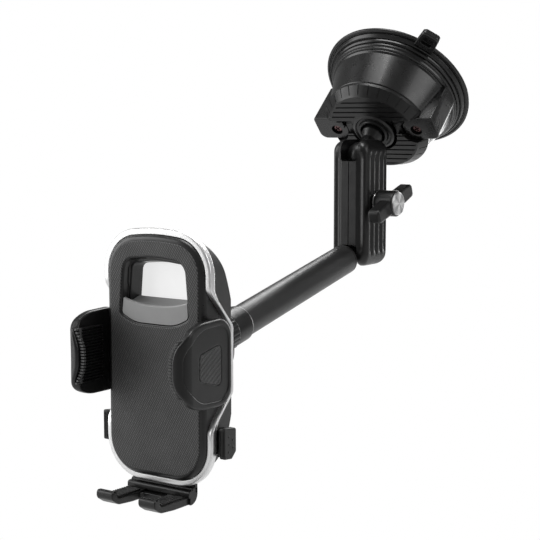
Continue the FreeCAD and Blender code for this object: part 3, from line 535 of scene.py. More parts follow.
def plate_ring(angles, outline, depth):
    """Ring of an outline at a depth, or at a depth that follows the height."""
    ring = []
    for angle in angles:
        hit = ray_hit(outline, PLATE_MIDDLE, angle)
        ring.append(Vector((hit.x, depth(hit.y) if callable(depth) else depth, hit.y)))
    return ring


def block(x, y, z):
    """Box cutter between pairs of coordinates."""
    bm = bmesh.new()
    bmesh.ops.create_cube(bm, size=1.0)
    for v in bm.verts:
        v.co = Vector([a + (b - a) * (c + 0.5) for c, (a, b) in zip(v.co, (x, y, z))])
    return new_object("cutter", bm)


def front_plate():
    angles = plate_angles()
    rings = [plate_ring(angles, shell_outline(-PLATE_IN), parting_y)]
    for a in quarter(7):
        rings.append(plate_ring(angles, shell_outline(-PLATE_IN - EDGE_WIDE * (1 - math.cos(a))),
                                FACE_Y + EDGE_DEEP * (1 - math.sin(a))))
    for a in quarter(6):
        outline = window_outline(0.7 * (1 - math.sin(a)))
        rings.append(plate_ring(angles, outline, FACE_Y + 0.7 * (1 - math.cos(a))))
    inner = [(-0.35, LEDGE_Y - 0.2), (-0.55, LEDGE_Y), (-1.35, LEDGE_Y), (-1.55, LEDGE_Y + 0.25),
             (-2.8, -195.4), (-1.4, -195.4), (0.9, -204.8)]
    rings += [plate_ring(angles, window_outline(grow), y) for grow, y in inner]
    rings.append(plate_ring(angles, shell_outline(-2.0), -204.8))
    rings.append(plate_ring(angles, shell_outline(-2.0), lambda z: max(parting_y(z), -204.7)))
    plate = skin("plate", rings, closed=True)
    slots = [block(sorted((20 * side, 40 * side)), (-200.35, -195.65), (-126.2, -105.8)) for side in (-1, 1)]
    piece(combine(plate, slots), "front_shell", MATERIALS["plate_black"], sharp=28)


def face_pad():
    angles = plate_angles()
    outer = [(0.0, FACE_Y + 0.3), (0.0, FACE_Y - 0.2), (-0.12, FACE_Y - 0.42), (-0.4, FACE_Y - 0.55)]
    inner = [(0.4, FACE_Y - 0.55), (0.12, FACE_Y - 0.42), (0.0, FACE_Y - 0.2), (0.0, FACE_Y + 0.3)]
    rings = [plate_ring(angles, shell_outline(grow - PLATE_IN - EDGE_WIDE), y) for grow, y in outer]
    rings += [plate_ring(angles, window_outline(grow + 0.75), y) for grow, y in inner]
    piece(skin("face_pad", rings, closed=True), "front_pad", sharp=50)


def band_depth(z):
    """Share of the trim ring's full depth at a height: slimmer beside the claws."""
    share = min(max((abs(z + 115.0) - 24.0) / 6.0, 0.0), 1.0)
    return 0.55 + 0.45 * share


def silver_band():
    """Trim ring following the parting line, round in section."""
    angles = plate_angles()
    section = rounded([(-0.58, -1.5, 0.3), (2.0, -1.5, 1.0), (2.0, 1.9, 0.7), (0.05, 1.9, 0.2),
                       (-0.58, 0.0, 0.2)], 4)
    rings = [plate_ring(angles, shell_outline(p.x), lambda z, shift=p.y: parting_y(z) + shift * band_depth(z))
             for p in section]
    piece(skin("silver_band", rings, closed=True), "trim_ring", sharp=60)


def back_shell_piece():
    refined("back_shell", 0.25, flat=0.4, material=MATERIALS["shell_black"])


# ---------- window
def window_block(grow, low_y, high_y):
    """Solid of the window's opening between two depths, grown beyond the plate's wall."""
    angles = plate_angles()
    rings = [plate_ring(angles, window_outline(grow - WINDOW_TAPER * (y - FACE_Y)), y)
             for y in (low_y, high_y)]
    return skin("window_block", rings)


def pale_window():
    panel = window_block(-1.02, *PANEL_Y)
    piece(soften(panel, 0.25, 3), "window_panel", sharp=40)


def grey_ramp():
    """Lip across the window's foot with a bowed top edge, a trough behind it and a floor up to the panel."""
    rings = []
    for k in range(41):
        x = -18.0 + 36.0 * k / 40
        rise = 2.4 * abs(x / 16.5) ** 2.4
        top = -93.9 + rise
        section = [(-206.9, -104.0, 0), (-206.5, top - 0.3, 0.4), (-205.4, top + 0.1, 0.4),
                   (-203.9, top - 1.2 - 0.3 * rise, 0.5), (-198.0, -91.2, 0.4), (-197.7, -104.0, 0)]
        rings.append([Vector((x, p.x, p.y)) for p in rounded(section, 4)])
    ramp = skin("grey_ramp", rings)
    piece(combine(ramp, [window_block(-0.25, -207.2, -197.0)], "INTERSECT"), "window_ramp", sharp=30)


# ---------- claws
CLAW_BACK_Y = -195.0       # start of the developed length
FLAT_LENGTH = 26.4         # straight outer side, then the bend to the lip
BEND_R = 5.8
CLAW_OUT = 31.2
CLAW_THICK = 3.8
CLAW_CENTRE = Vector((17.0, -115.5))
CLAW_OUTLINE = [(0.4, -96.8, 8.0), (0.4, -132.9, 8.0), (25.0, -132.5, 20.0), (36.6, -122.0, 12.0),
                (36.6, -108.2, 12.0), (25.0, -97.5, 20.0)]
FACE_OUTLINE = [(2.6, -99.5, 6.5), (2.6, -130.6, 6.5), (21.0, -130.0, 14.0), (31.2, -121.4, 9.0),
                (31.2, -108.6, 9.0), (21.0, -100.1, 14.0)]
INSET_OUTLINE = [(7.4, -107.2, 2.4), (7.4, -124.4, 2.4), (21.8, -120.7, 2.8), (21.8, -110.1, 2.4)]


def bent(s, z, depth):
    """From the claw's developed side (length, height, depth from its outer face) to the object's frame."""
    if s <= FLAT_LENGTH:
        return Vector((CLAW_OUT - depth, CLAW_BACK_Y - s, z))
    turn = min((s - FLAT_LENGTH) / BEND_R, math.pi / 2)
    radius = BEND_R - depth
    past = s - FLAT_LENGTH - turn * BEND_R
    return Vector((CLAW_OUT - BEND_R + radius * math.cos(turn) - past,
                   CLAW_BACK_Y - FLAT_LENGTH - radius * math.sin(turn), z))


def bend(obj):
    """Splits a flat slab along the bend and wraps it round."""
    bm = bmesh.new()
    bm.from_mesh(obj.data)
    for k in range(19):
        cut = FLAT_LENGTH + BEND_R * math.pi / 2 * k / 18
        bmesh.ops.bisect_plane(bm, geom=bm.verts[:] + bm.edges[:] + bm.faces[:], dist=1e-5,
                               plane_co=(cut, 0, 0), plane_no=(1, 0, 0))
    for v in bm.verts:
        v.co = bent(v.co.x, v.co.y, v.co.z)
    bmesh.ops.recalc_face_normals(bm, faces=bm.faces)
    bm.to_mesh(obj.data)
    bm.free()
    return obj


def slab_ring(angles, outline, depth):
    return [Vector((*ray_hit(outline, CLAW_CENTRE, angle), depth)) for angle in angles]


def sided(obj, side):
    return move(obj, MIRROR) if side == "left" else obj


def claw_shape(side):
    """Claw with a raised glossy rim round a slightly sunken face."""
    outline = rounded(CLAW_OUTLINE, 14)
    face = rounded(FACE_OUTLINE, 14)
    inset = rounded(INSET_OUTLINE, 8)
    angles = shared_angles(CLAW_CENTRE, outline, face, inset)
    edge = 0.9
    levels = [(edge * (1 - math.sin(a)), CLAW_THICK - edge * (1 - math.cos(a))) for a in quarter(4)]
    rings = [slab_ring(angles, shrink(outline, back), depth) for back, depth in levels]
    rings += [slab_ring(angles, shrink(outline, 1.15 * (1 - math.cos(a))), 1.15 * (1 - math.sin(a)))
              for a in quarter(5)]
    for shift, depth in ((-0.45, 0.02), (-0.2, 0.08), (0.0, 0.26), (0.12, 0.48), (0.5, 0.48)):
        rings.append(slab_ring(angles, shrink(face, shift), depth))
    for shift, depth in ((-0.9, 0.48), (-0.5, 0.48), (-0.3, 0.56), (-0.2, 0.7), (-0.2, 1.35)):
        rings.append(slab_ring(angles, shrink(inset, shift), depth))
    piece(sided(bend(skin("claw_" + side, rings)), side), side + "_claw", sharp=35)


def claw_grip(side):
    """Rubber pad inside the claw, its ribs running round the bend and past the lip's free edge."""
    outline = rounded(CLAW_OUTLINE, 14)
    parts = []
    base = []
    for k in range(33):
        s = 13.1 + (34.9 - 13.1) * k / 32
        base.append([bent(s, z, depth) for z, depth in ((-125.9, 3.15), (-103.9, 3.15), (-103.9, 4.3),
                                                        (-125.9, 4.3))])
    for rib in range(19):
        z = -126.3 + 1.25 * rib
        end = ray_hit(outline, Vector((CLAW_CENTRE.x, z)), 0.0).x + 2.4
        rings = []
        for k in range(33):
            s = 13.5 + (end - 13.5) * k / 32
            taper = 0.35 if k in (0, 32) else 1.0
            section = [(z - 0.36, 3.3), (z - 0.36, 4.5), (z - 0.2, 4.3 + 0.75 * taper),
                       (z + 0.2, 4.3 + 0.75 * taper), (z + 0.36, 4.5), (z + 0.36, 3.3)]
            wrap = 1.9 * min(max((s - end + 4.2) / 2.4, 0.0), 1.0)
            rings.append([bent(s, a, depth - wrap) for a, depth in section])
        parts.append(skin("rib", rings))
    pad = join(skin("claw_pad_" + side, base), parts)
    piece(sided(pad, side), side + "_claw_pad", sharp=30)


def claw_patch(side):
    """Grip patch with slanting ribs, let into the claw's face."""
    outline = rounded(INSET_OUTLINE, 8)
    patch = extrude("claw_patch_" + side, shrink(outline, 0.02), 0.55, 1.3, 0.12)
    slope = math.radians(33)
    way = Vector((-math.cos(slope), math.sin(slope)))
    step = Vector((math.sin(slope), math.cos(slope)))
    ribs = []
    for k in range(-8, 9):
        middle = Vector((14.6, -115.8)) + step * (1.8 * k)
        rings = []
        for end in (-16, 16):
            centre = middle + way * end
            section = [(-0.5, 0.7), (-0.42, 0.46), (-0.2, 0.30), (0.2, 0.30), (0.42, 0.46), (0.5, 0.7)]
            rings.append([Vector((*(centre + step * a), depth)) for a, depth in section])
        ribs.append(skin("rib", rings))
    bars = join(ribs[0], ribs[1:])
    bars = combine(bars, [extrude("trim", shrink(outline, 0.35), 0.0, 1.0)], "INTERSECT")
    piece(sided(bend(join(patch, [bars])), side), side + "_claw_inset", sharp=30)


# ---------- release buttons
SPRING_PLACE = Matrix.Translation((0, -198.0, -148.75))
BUTTON_DOTS = [(-199.4, -146.1), (-199.4, -149.3), (-199.6, -152.4), (-196.8, -147.7), (-196.6, -150.9)]


def button_shape(side):
    """Push button with upright front ribs and five raised dots, on its stem and catch."""
    outline = rounded([(-202.5, -142.0, 0.7), (-194.4, -143.0, 1.0), (-194.4, -152.8, 1.0),
                       (-197.4, -155.6, 1.2), (-202.5, -155.0, 0.7)][::-1], 5)
    cap = move(extrude("button_" + side, outline, 29.6, 32.4, 0.45), ALONG_X)
    cutters = [block((x, x + 0.32), (-204.0, -202.2), (-153.9, -143.1)) for x in (30.15, 30.9, 31.65)]
    cap = combine(cap, cutters)
    seat = rod(2.5, 20.0, 23.0, 32)
    catch = block((20.6, 23.2), (-201.0, -197.0), (-153.6, -139.0))
    stem = block((23.0, 29.8), (-201.0, -194.5), (-153.6, -143.9))
    parts = [block((27.5, 30.0), (-201.2, -194.8), (-154.6, -143.4)), stem,
             combine(catch, [move(seat, SPRING_PLACE @ ALONG_X)])]
    parts = [soften(part, 0.2) for part in parts]
    for y, z in BUTTON_DOTS:
        dome = lathe("dot", [(0.0, 0.0, 0), (0.55, 0.0, 0), (0.5, 0.22, 0.15), (0.0, 0.32, 0)], 20)
        parts.append(move(dome, Matrix.Translation((32.3, y, z)) @ ALONG_X))
    piece(sided(join(cap, parts), side), side + "_release_button", sharp=35)


def coil(name, radius, wire, length, turns, steps=24):
    """Compression spring about Z with closed ends."""
    count = int(turns * steps)
    rings = []
    for k in range(count + 1):
        share = k / count
        lead = min(max((share * turns - 0.75) / (turns - 1.5), 0.0), 1.0)
        height = wire / 2 + (length - wire) * lead
        angle = 2 * math.pi * turns * share
        out = Vector((math.cos(angle), math.sin(angle), 0))
        ring = []
        for j in range(8):
            turn = 2 * math.pi * j / 8
            rise = height + wire / 2 * math.sin(turn)
            ring.append(out * (radius + wire / 2 * math.cos(turn)) + Vector((0, 0, rise)))
        rings.append(ring)
    return skin(name, rings)


def button_coil(side):
    spring = coil("button_coil_" + side, 1.9, 0.45, 6.6, 7)
    move(spring, SPRING_PLACE @ Matrix.Translation((13.8, 0, 0)) @ ALONG_X)
    piece(sided(spring, side), side + "_button_spring", sharp=60)


# ---------- foot
FOOT_HALF = 16.5
PRONG_X = ((-15.5, -6.7), (6.7, 15.5))


def foot_shape():
    """Sliding plate, beaded shelf and two hooked prongs."""
    shelf = rounded([(-199.8, -169.2, 0.3), (-203.0, -169.2, 0.4), (-203.1, -170.0, 0.3),
                     (-205.7, -170.1, 1.0), (-205.9, -172.6, 0.8), (-204.8, -173.2, 0.2),
                     (-204.8, -176.1, 0.5), (-199.8, -176.1, 4.4)], 6)
    slide = soften(block((-FOOT_HALF, FOOT_HALF), (-201.6, -199.8), (-171.6, -152.0)), 0.3)
    foot = move(extrude("foot_shape", shelf, -FOOT_HALF, FOOT_HALF, 0.25, 3), ALONG_X)
    web = rounded([(-8.0, -203.5, 0), (-8.0, -210.0, 0), (-5.6, -208.2, 1.6), (5.6, -208.2, 1.6),
                   (8.0, -210.0, 0), (8.0, -203.5, 0)], 6)
    parts = [slide, extrude("web", web, -175.9, -173.3, 0.3)]
    for low, high in PRONG_X:
        hook = rounded([(-203.0, -172.6, 0), (-203.0, -176.1, 0), (-214.0, -175.9, 6.0), (-222.6, -175.1, 4.0),
                        (-227.0, -172.2, 2.4), (-226.7, -168.9, 1.2), (-223.9, -169.1, 0.9),
                        (-223.2, -172.1, 1.2)], 6)
        parts.append(move(extrude("hook", hook, low, high, 0.55, 4), ALONG_X))
    piece(join(foot, parts), "foot_bracket", sharp=40)


def foot_grips():
    """Thin rubber pads on the prongs, ribbed across."""
    parts = []
    for low, high in PRONG_X:
        top = [(-208.0, -171.75)]
        for k in range(9):
            y = -208.9 - 1.42 * k
            level = -171.75 + 0.35 * (k / 8)
            top += [(y, level), (y - 0.25, level - 0.22), (y - 0.6, level - 0.22), (y - 0.85, level)]
        outline = [Vector(p) for p in [(-221.8, -172.3), (-221.8, -171.45)] + top[::-1] + [(-208.0, -172.5)]]
        parts.append(move(extrude("foot_grip", outline, low + 0.8, high - 0.8), ALONG_X))
    pads = join(parts[0], parts[1:])
    piece(soften(pads, 0.08, 1), "foot_pads", sharp=30)


def both(build):
    return [lambda: build("right"), lambda: build("left")]


PIECES = [front_plate, face_pad, silver_band, back_shell_piece, pale_window, grey_ramp, foot_shape, foot_grips]
for shape in (claw_shape, claw_grip, claw_patch, button_shape, button_coil):
    PIECES += both(shape)


# ---------- suction base, in the cup's frame
TAB_TURN = Matrix.Rotation(math.radians(47), 4, "Z")
EAR_X = 23.5               # centre of each ear and of its screw
BALL_R = 7.5               # balls at both ends of the arm
BALL_H = 53.5              # height of the upper one above the cup's face


def cup_shape():
    """Suction cup with a stepped rim and a thick pull tab that has a pocket."""
    cup = lathe("cup_shape", [(0, 0, 0), (39.4, 0.0, 0.3), (40.0, 0.5, 0.4), (40.0, 1.5, 0.5),
                              (39.3, 1.9, 0.3),
                              (38.7, 2.0, 0.15), (38.5, 1.5, 0.15), (38.0, 1.5, 0.15), (37.8, 2.4, 0.3),
                              (37.0, 4.0, 0.5), (36.6, 4.1, 0.15), (36.4, 3.7, 0.15), (36.1, 3.7, 0.15),
                              (35.9, 5.2, 0.3), (35.2, 5.9, 0.2), (21.0, 6.0, 0.2), (20.0, 2.0, 0.5),
                              (0, 2.0, 0)], 144)
    outline = rounded([(38.4, -5.4, 0), (49.9, -4.8, 2.2), (49.9, 4.8, 2.2), (38.4, 5.4, 0)], 7)
    tab = extrude("tab", outline, 0.9, 4.9, 1.1, 5)
    hollow = rounded([(42.0, -3.0, 1.0), (47.6, -2.6, 1.2), (47.6, 2.6, 1.2), (42.0, 3.0, 1.0)], 6)
    pocket = extrude("pocket", hollow, 2.6, 6.0)
    tab = soften(combine(tab, [pocket]), 0.3, 3, 50)
    piece(combine(cup, [move(tab, TAB_TURN)], "UNION"), "suction_cup", matrix=BASE, sharp=35)


def flange_shape():
    """Polished clamp ring over the cup's rim, stepped twice."""
    corners = [(20.2, 6.02, 0.2), (34.6, 6.02, 0.3), (35.0, 6.4, 0.3), (35.0, 7.3, 0.45), (34.5, 7.9, 0.2),
               (34.25, 7.9, 0.1), (34.0, 8.9, 0.4), (33.4, 9.28, 0.2), (20.2, 9.28, 0.2)]
    piece(lathe("flange", corners, 144, closed=True), "clamp_ring", matrix=BASE, sharp=40)


def cone_shape():
    """Housing: glossy cone wall with a rolled foot, hollow, with a web, a socket and two posts inside."""
    wall = lathe("cone", [(20.25, 9.32, 0.2), (33.2, 9.32, 0.2), (33.2, 9.9, 0.3), (32.5, 10.8, 0.8),
                          (28.0, 27.9, 0.5), (27.4, 28.48, 0.2), (25.7, 28.48, 0.2), (30.0, 11.5, 0.5),
                          (20.25, 11.5, 0.2)], 144, closed=True)
    web = block((-2.5, 2.5), (-27.6, 27.6), (14.0, 26.0))
    socket = lathe("socket", [(5.7, 19.1, 0), (9.5, 14.2, 0.2), (9.5, 28.3, 0.2), (5.7, 28.3, 0.2)], 64,
                   closed=True)
    inside = combine(web, [rod(5.66, 0, 40, 64)])
    posts = []
    for side in (-1, 1):
        post = lathe("post", [(0, 10.6, 0), (3.6, 10.6, 0), (3.6, 28.4, 0.3), (1.5, 28.4, 0.1), (1.5, 19.2, 0),
                              (0, 19.2, 0)], 32)
        posts.append(move(post, Matrix.Translation((EAR_X * side, -1.0, 0))))
    piece(join(wall, [inside, socket] + posts), "base_housing", matrix=BASE, sharp=35)


def ear_shape(side):
    refined(side + "_pivot_bracket", 0.45, angle=25, flat=0.5, segments=3)


def cap_shapes():
    refined("top_cover", 0.14, angle=28, flat=0.3)
    refined("lock_lever", 0.14, angle=28, flat=0.3)


def stud_shape():
    """Ball stud: shank with a shoulder, neck and polished ball."""
    line = [(0, 16.2, 0), (7.9, 16.2, 0.4), (7.9, 19.0, 0.4), (5.6, 19.0, 0.3), (5.6, 37.9, 0.6),
            (3.9, 41.6, 0.8), (3.9, 46.6, 0.2)] + ball_line(BALL_R, BALL_H, 31.5, 180)
    piece(lathe("stud", line, 96), "ball_stud", matrix=BASE, sharp=35)


def screw_shapes():
    """Two cross-recessed screws that hold the brackets down."""
    screws = []
    for side in (-1, 1):
        screw = lathe("screw", [(0, 20.0, 0), (1.1, 20.0, 0), (1.5, 20.8, 0), (1.5, 30.2, 0), (2.8, 30.2, 0.2),
                                (2.8, 31.2, 0.5), (2.0, 31.9, 0.6), (0, 32.0, 0)], 40)
        cross = [soften(block(x, y, (30.9, 33.0)), 0.1) for x, y in (((-1.6, 1.6), (-0.4, 0.4)),
                                                                     ((-0.4, 0.4), (-1.6, 1.6)))]
        combine(screw, cross)
        screws.append(move(screw, Matrix.Translation((EAR_X * side, -1.0, 0)) @ Matrix.Rotation(0.5, 4, "Z")))
    piece(join(screws[0], screws[1:]), "bracket_screws", matrix=BASE, sharp=35)


# ---------- clamp arm and knob
ARM_Y = -39.0
KNOB_Z = -60.0
ARM_HALF = (10.0, 12.0)
ARM_Z = (-92.0, -28.0)
ARM_END_R = 6.0
SOCKET_R = 7.58
LOWER_BALL = (0, ARM_Y, -84.5)
POCKET_UP = 12.5           # pockets this far above and below the bolt
KNOB = Matrix.Translation((0, ARM_Y, KNOB_Z)) @ ALONG_X


def arm_plan(spread):
    """The arm's section, grooved down its sides and front corners as deep as the spread says."""
    half_x, half_y = ARM_HALF
    corners = [(-half_x, -half_y, 3.4), (half_x, -half_y, 3.4), (half_x, half_y, 3.4), (-half_x, half_y, 3.4)]
    line = rounded(corners, 8)
    dense = []
    for a, b in zip(line, line[1:] + line[:1]):
        count = max(1, int((b - a).length / 0.3))
        dense += [a + (b - a) * (k / count) for k in range(count)]
    plan = []
    for p in dense:
        if abs(p.x) > half_x - 0.4:
            depth = sum(groove(p.y - place, 1.75, 0.85) for place in (-5.6, -0.9, 3.8, 8.2))
            plan.append(Vector((p.x - math.copysign(depth * spread, p.x), p.y)))
        elif abs(p.y) > half_y - 1.2:
            depth = groove(abs(p.x) - 6.6, 2.3, 0.9)
            plan.append(Vector((p.x, p.y - math.copysign(depth * spread, p.y))))
        else:
            plan.append(p)
    return plan


def groove(place, half, depth):
    """Depth of a rounded groove at a distance from its middle."""
    return depth * math.cos(math.pi / 2 * place / half) ** 1.4 if abs(place) < half else 0.0


def arm_body():
    """Both arm shells as one body, its ends rounded, before it is split down the seam."""
    half_x, half_y = ARM_HALF
    low, high = ARM_Z
    levels = [(ARM_END_R * (1 - math.sin(a)), ARM_END_R * (1 - math.cos(a))) for a in quarter(9)]
    levels = [(inset, low + rise) for inset, rise in levels]
    levels += [(0.0, low + ARM_END_R + 0.6 * k) for k in (1, 2, 4, 6)]
    levels += [(inset, low + high - z) for inset, z in reversed(levels)]
    rings = []
    for inset, z in levels:
        edge = min(z - low, high - z)
        spread = min(max((edge - ARM_END_R + 0.4) / 3.6, 0.0), 1.0)
        wide = (half_x - inset * 0.75) / half_x
        deep = (half_y - inset) / half_y
        rings.append([Vector((p.x * wide, ARM_Y + p.y * deep, z)) for p in arm_plan(spread)])
    return skin("arm_body", rings)


def ball_cutter(radius, centre):
    bm = bmesh.new()
    bmesh.ops.create_icosphere(bm, subdivisions=5, radius=radius)
    bmesh.ops.translate(bm, vec=centre, verts=bm.verts)
    return new_object("ball_cutter", bm)


def arm_shape(side):
    """Half of the clamp arm with its ball sockets, slots, bolt hole and spring pocket."""
    sign = 1 if side == "right" else -1
    upper = (BASE @ Vector((0, 0, BALL_H))) / MM
    y = (ARM_Y - 20, ARM_Y + 20)
    slots = []
    for low, high in ((ARM_Z[1] - 10.8, ARM_Z[1] + 5), (ARM_Z[0] - 5, ARM_Z[0] + 10.9)):
        outline = rounded([(-4.8, low, 1.6), (4.8, low, 1.6), (4.8, high, 1.6), (-4.8, high, 1.6)], 5)
        slots.append(move(extrude("slot", outline, *y), SWAP_YZ))
    bolt = lathe("bolt_hole", [(0, -30, 0), (2.9, -30, 0), (2.9, -5.2, 0), (5.0, -5.2, 0), (5.0, 5.2, 0),
                               (2.9, 5.2, 0), (2.9, 30, 0), (0, 30, 0)], 48)
    pockets = [block((-5.5, 5.5), (ARM_Y - 7, ARM_Y + 7), (z - 3.5, z + 3.5))
               for z in (KNOB_Z + POCKET_UP, KNOB_Z - POCKET_UP)]
    cutters = [ball_cutter(SOCKET_R, upper), ball_cutter(SOCKET_R, LOWER_BALL), move(bolt, KNOB)]
    cutters += slots + pockets
    if side == "left":
        cutters.append(block((-12, -6.4), (ARM_Y - 4.5, ARM_Y + 4.5), (KNOB_Z - 4.5, KNOB_Z + 4.5)))
    half = combine(arm_body(), [block(sorted((0.22 * sign, 30 * sign)), (-90, 0), (-120, 0))], "INTERSECT")
    piece(soften(combine(half, cutters), 0.3, 2, 50), "arm_" + side + "_shell", sharp=38)


def knob_shape():
    """Wing knob: rounded hub and two tapering paddle wings."""
    hub = lathe("knob_shape", [(2.55, 11.25, 0), (6.2, 11.25, 0.3), (6.6, 11.8, 0.3), (6.6, 21.6, 0.7),
                               (5.9, 21.6, 0.1), (5.9, 20.95, 0), (0, 20.95, 0), (0, 18.6, 0),
                               (2.55, 18.6, 0)], 72, closed=True)
    outline = rounded([(-18.6, -3.4, 2.0), (-6.0, -3.9, 6.0), (6.0, -3.9, 6.0), (18.6, -3.4, 2.0),
                       (18.6, 3.4, 2.0), (6.0, 3.9, 6.0), (-6.0, 3.9, 6.0), (-18.6, 3.4, 2.0)], 6)
    wings = extrude("wings", outline, 14.6, 21.2, 1.1, 5)
    wings = combine(wings, [rod(5.0, 0, 40, 48)])
    turn = Matrix.Rotation(math.radians(20), 4, "Z")
    piece(move(join(hub, [move(wings, turn)]), KNOB), "wing_knob", sharp=35)


def knob_disc():
    disc = lathe("knob_disc", [(0, 21.0, 0), (5.82, 21.0, 0), (5.82, 22.4, 0.12), (5.45, 22.78, 0.12),
                               (5.0, 22.8, 0.05), (4.9, 22.72, 0.03), (0, 22.74, 0)])
    piece(move(disc, KNOB), "knob_cap", sharp=20)


def washer_shape():
    washer = lathe("washer", [(2.56, 10.17, 0.1), (6.0, 10.17, 0.2), (6.0, 11.13, 0.3),
                              (2.56, 11.13, 0.1)], 72, closed=True)
    piece(move(washer, KNOB), "knob_washer", sharp=35)


def arm_coil():
    spring = coil("arm_coil", 3.9, 0.75, 10.0, 5.5)
    piece(move(spring, Matrix.Translation((-5.0, ARM_Y, KNOB_Z)) @ ALONG_X), "arm_spring", sharp=60)


# ---------- tube, in its own frame
TUBE_R = 7.46
TUBE_WALL = 1.15
INNER_R = 5.5
CRADLE_BALL_H = 139.0 / math.cos(math.radians(12.7))    # level distance, along the sloping tube


def ball_line(radius, centre, start, end, count=28):
    """Half outline of a ball from one angle off its lower pole to another, in degrees."""
    return [(radius * math.sin(math.radians(a)), centre - radius * math.cos(math.radians(a)), 0)
            for a in [start + (end - start) * k / count for k in range(count + 1)]]


def tube_pieces():
    stem = [(3.7, 6.6, 0), (3.7, 20.9, 0.2), (5.2, 21.0, 0.2), (5.2, 23.0, 0.4), (0, 23.0, 0)]
    ball = lathe("near_ball", ball_line(BALL_R, 0.0, 0, 150) + stem, 72)
    piece(ball, "tube_ball", matrix=TUBE, sharp=35)
    plug = lathe("near_plug", [(3.78, 14.4, 0.2), (6.1, 14.4, 0.5), (7.46, 15.9, 0.5), (7.46, 16.95, 0.15),
                               (6.26, 16.98, 0), (6.26, 27.0, 0.3), (4.7, 27.0, 0.1), (4.7, 23.1, 0),
                               (5.3, 23.1, 0), (5.3, 20.8, 0), (3.78, 20.8, 0)], 96, closed=True)
    piece(plug, "tube_end_plug", matrix=TUBE, sharp=35)
    for name, node, radius, wall, low, high, steps in (
            ("tube_skin", "outer_tube", TUBE_R, TUBE_WALL, 17.05, 118.0, 128),
            ("inner_skin", "inner_tube", INNER_R, 1.0, 60.0, 131.0, 96)):
        sleeve = lathe(name, [(radius - wall, low, 0.1), (radius, low, 0.2), (radius, high, 0.2),
                              (radius - wall, high, 0.1)], steps, closed=True)
        piece(sleeve, node, matrix=TUBE, sharp=35)


def fluted(name, corners, count, depth, steps=12, arc=4):
    """Closed lathe whose widest band is cut by rounded flutes."""
    line = rounded(corners, arc)
    widest = max(point.x for point in line)
    rings = []
    for point in line:
        share = min(max((point.x - widest + depth * 1.1) / (depth * 1.1), 0.0), 1.0)
        ring = []
        for i in range(count * steps):
            wave = abs(math.cos(math.pi * i / steps)) ** 6
            radius = point.x - depth * share * wave
            angle = 2 * math.pi * i / (count * steps)
            ring.append(Vector((radius * math.cos(angle), radius * math.sin(angle), point.y)))
        rings.append(ring)
    return skin(name, rings, closed=True)


def collar_shape():
    collar = fluted("collar", [(7.52, 110.0, 0.1), (7.8, 110.0, 0.2), (8.3, 111.2, 0.4), (8.3, 120.6, 0.1),
                               (8.25, 121.0, 0.1), (8.6, 121.6, 0.2), (8.6, 126.6, 0.6), (7.9, 128.3, 0.4),
                               (5.56, 128.5, 0.1), (5.56, 119.1, 0.1), (7.52, 119.1, 0.1)], 24, 0.2)
    piece(collar, "twist_collar", matrix=TUBE, sharp=40)


def far_ball():
    line = [(0, 121.0, 0), (4.45, 121.0, 0.3), (4.45, 131.05, 0), (5.5, 131.05, 0.1), (5.5, 131.8, 0.2),
            (3.5, 131.8, 0.5)]
    line += [(3.5, CRADLE_BALL_H - 7.75, 0)] + ball_line(8.5, CRADLE_BALL_H, 25, 180)
    piece(lathe("far_ball", line, 96), "cradle_ball", matrix=TUBE, sharp=35)


def nut_shape():
    refined("ring_nut", 0.3, flat=0.5)


PIECES += [cup_shape, flange_shape, cone_shape, cap_shapes, stud_shape, screw_shapes, knob_shape, knob_disc,
           washer_shape, arm_coil, tube_pieces, collar_shape, far_ball, nut_shape]
for shape in (ear_shape, arm_shape):
    PIECES += both(shape)


# ---------- studio
CAMERA_PLACE = (0.338205, -0.622817, -0.017210)
CAMERA_TURN = (83.40, 0.0, 34.02)
CAMERA_LENS = 87.45
FLOOR_DROP = 0.12
FLOOR_REACH = 8.0
MIDDLE = (0, -0.11, -0.06)
WORLD_LIGHT = 0.22
SOFTBOXES = [              # name, place and size in metres, watts
    ("left", (-1.15, -0.85, 0.35), (1.0, 1.3), 14),
    ("right", (1.25, 0.0, 0.55), (0.6, 1.0), 5),
    ("top", (-0.1, -0.35, 1.15), (0.7, 0.5), 9),
    ("back", (-0.2, 1.3, 0.15), (1.2, 1.2), 18),
    ("above", (-0.25, 0.85, 0.95), (1.0, 0.5), 14),
]


def softbox(name, place, size, power):
    lamp = bpy.data.lights.new(name, "AREA")
    lamp.shape = "RECTANGLE"
    lamp.size, lamp.size_y = size
    lamp.energy = power
    obj = bpy.data.objects.new(name, lamp)
    obj.location = place
    obj.rotation_euler = (Vector(MIDDLE) - Vector(place)).to_track_quat("-Z", "Y").to_euler()
    obj.visible_camera = False
    bpy.context.scene.collection.objects.link(obj)


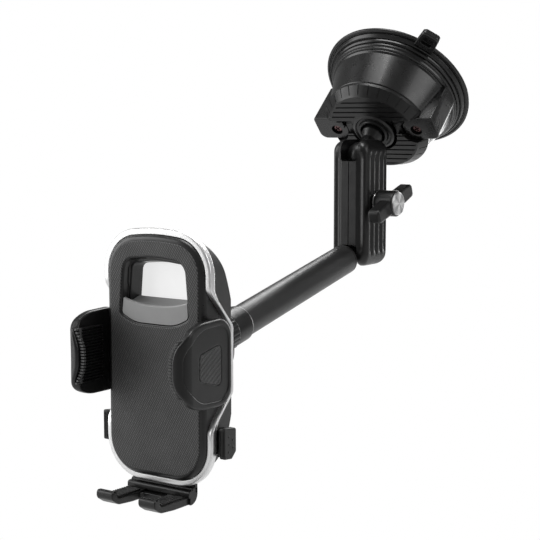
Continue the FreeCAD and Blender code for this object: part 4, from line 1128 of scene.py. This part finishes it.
def camera_split(tree, seen, cast, output):
    """What the camera sees directly, and what lights the scene, into one output."""
    path = tree.nodes.new("ShaderNodeLightPath")
    mix = tree.nodes.new("ShaderNodeMixShader")
    tree.links.new(path.outputs["Is Camera Ray"], mix.inputs[0])
    tree.links.new(cast, mix.inputs[1])
    tree.links.new(seen, mix.inputs[2])
    tree.links.new(mix.outputs[0], output)


def white_room():
    world = bpy.data.worlds.new("studio")
    world.use_nodes = True
    tree = world.node_tree
    cast = tree.nodes["Background"]
    cast.inputs["Color"].default_value = (1, 1, 1, 1)
    cast.inputs["Strength"].default_value = WORLD_LIGHT
    seen = tree.nodes.new("ShaderNodeBackground")
    seen.inputs["Color"].default_value = (1, 1, 1, 1)
    camera_split(tree, seen.outputs[0], cast.outputs[0], tree.nodes["World Output"].inputs["Surface"])
    bpy.context.scene.world = world


def pale_floor():
    level = CAD_BOX[0][2] - FLOOR_DROP
    reach = FLOOR_REACH
    mesh = bpy.data.meshes.new("floor")
    mesh.from_pydata([(-reach, -reach, level), (reach, -reach, level), (reach, reach, level),
                      (-reach, reach, level)], [], [(0, 1, 2, 3)])
    floor = bpy.data.objects.new("floor", mesh)
    bpy.context.scene.collection.objects.link(floor)
    finish = Finish("pale_floor", 0.8)
    finish.paint(finish.colour(finish.span(finish.noise(400.0), 0, 1), grey(0.50), grey(0.54)))
    seen = finish.tree.nodes.new("ShaderNodeEmission")
    seen.inputs["Color"].default_value = (1, 1, 1, 1)
    output = finish.tree.nodes["Material Output"].inputs["Surface"]
    camera_split(finish.tree, seen.outputs[0], finish.shader.outputs[0], output)
    mesh.materials.append(finish.material)


def studio():
    scene = bpy.context.scene
    scene.view_settings.view_transform = "Standard"
    white_room()
    pale_floor()
    for box in SOFTBOXES:
        softbox(*box)
    camera = bpy.data.cameras.new("camera")
    camera.lens = CAMERA_LENS
    camera.clip_start = 0.01
    holder = bpy.data.objects.new("camera", camera)
    holder.location = CAMERA_PLACE
    holder.rotation_euler = [math.radians(angle) for angle in CAMERA_TURN]
    scene.collection.objects.link(holder)
    scene.camera = holder


dress_cad_nodes()
for build in PIECES:
    build()
studio()
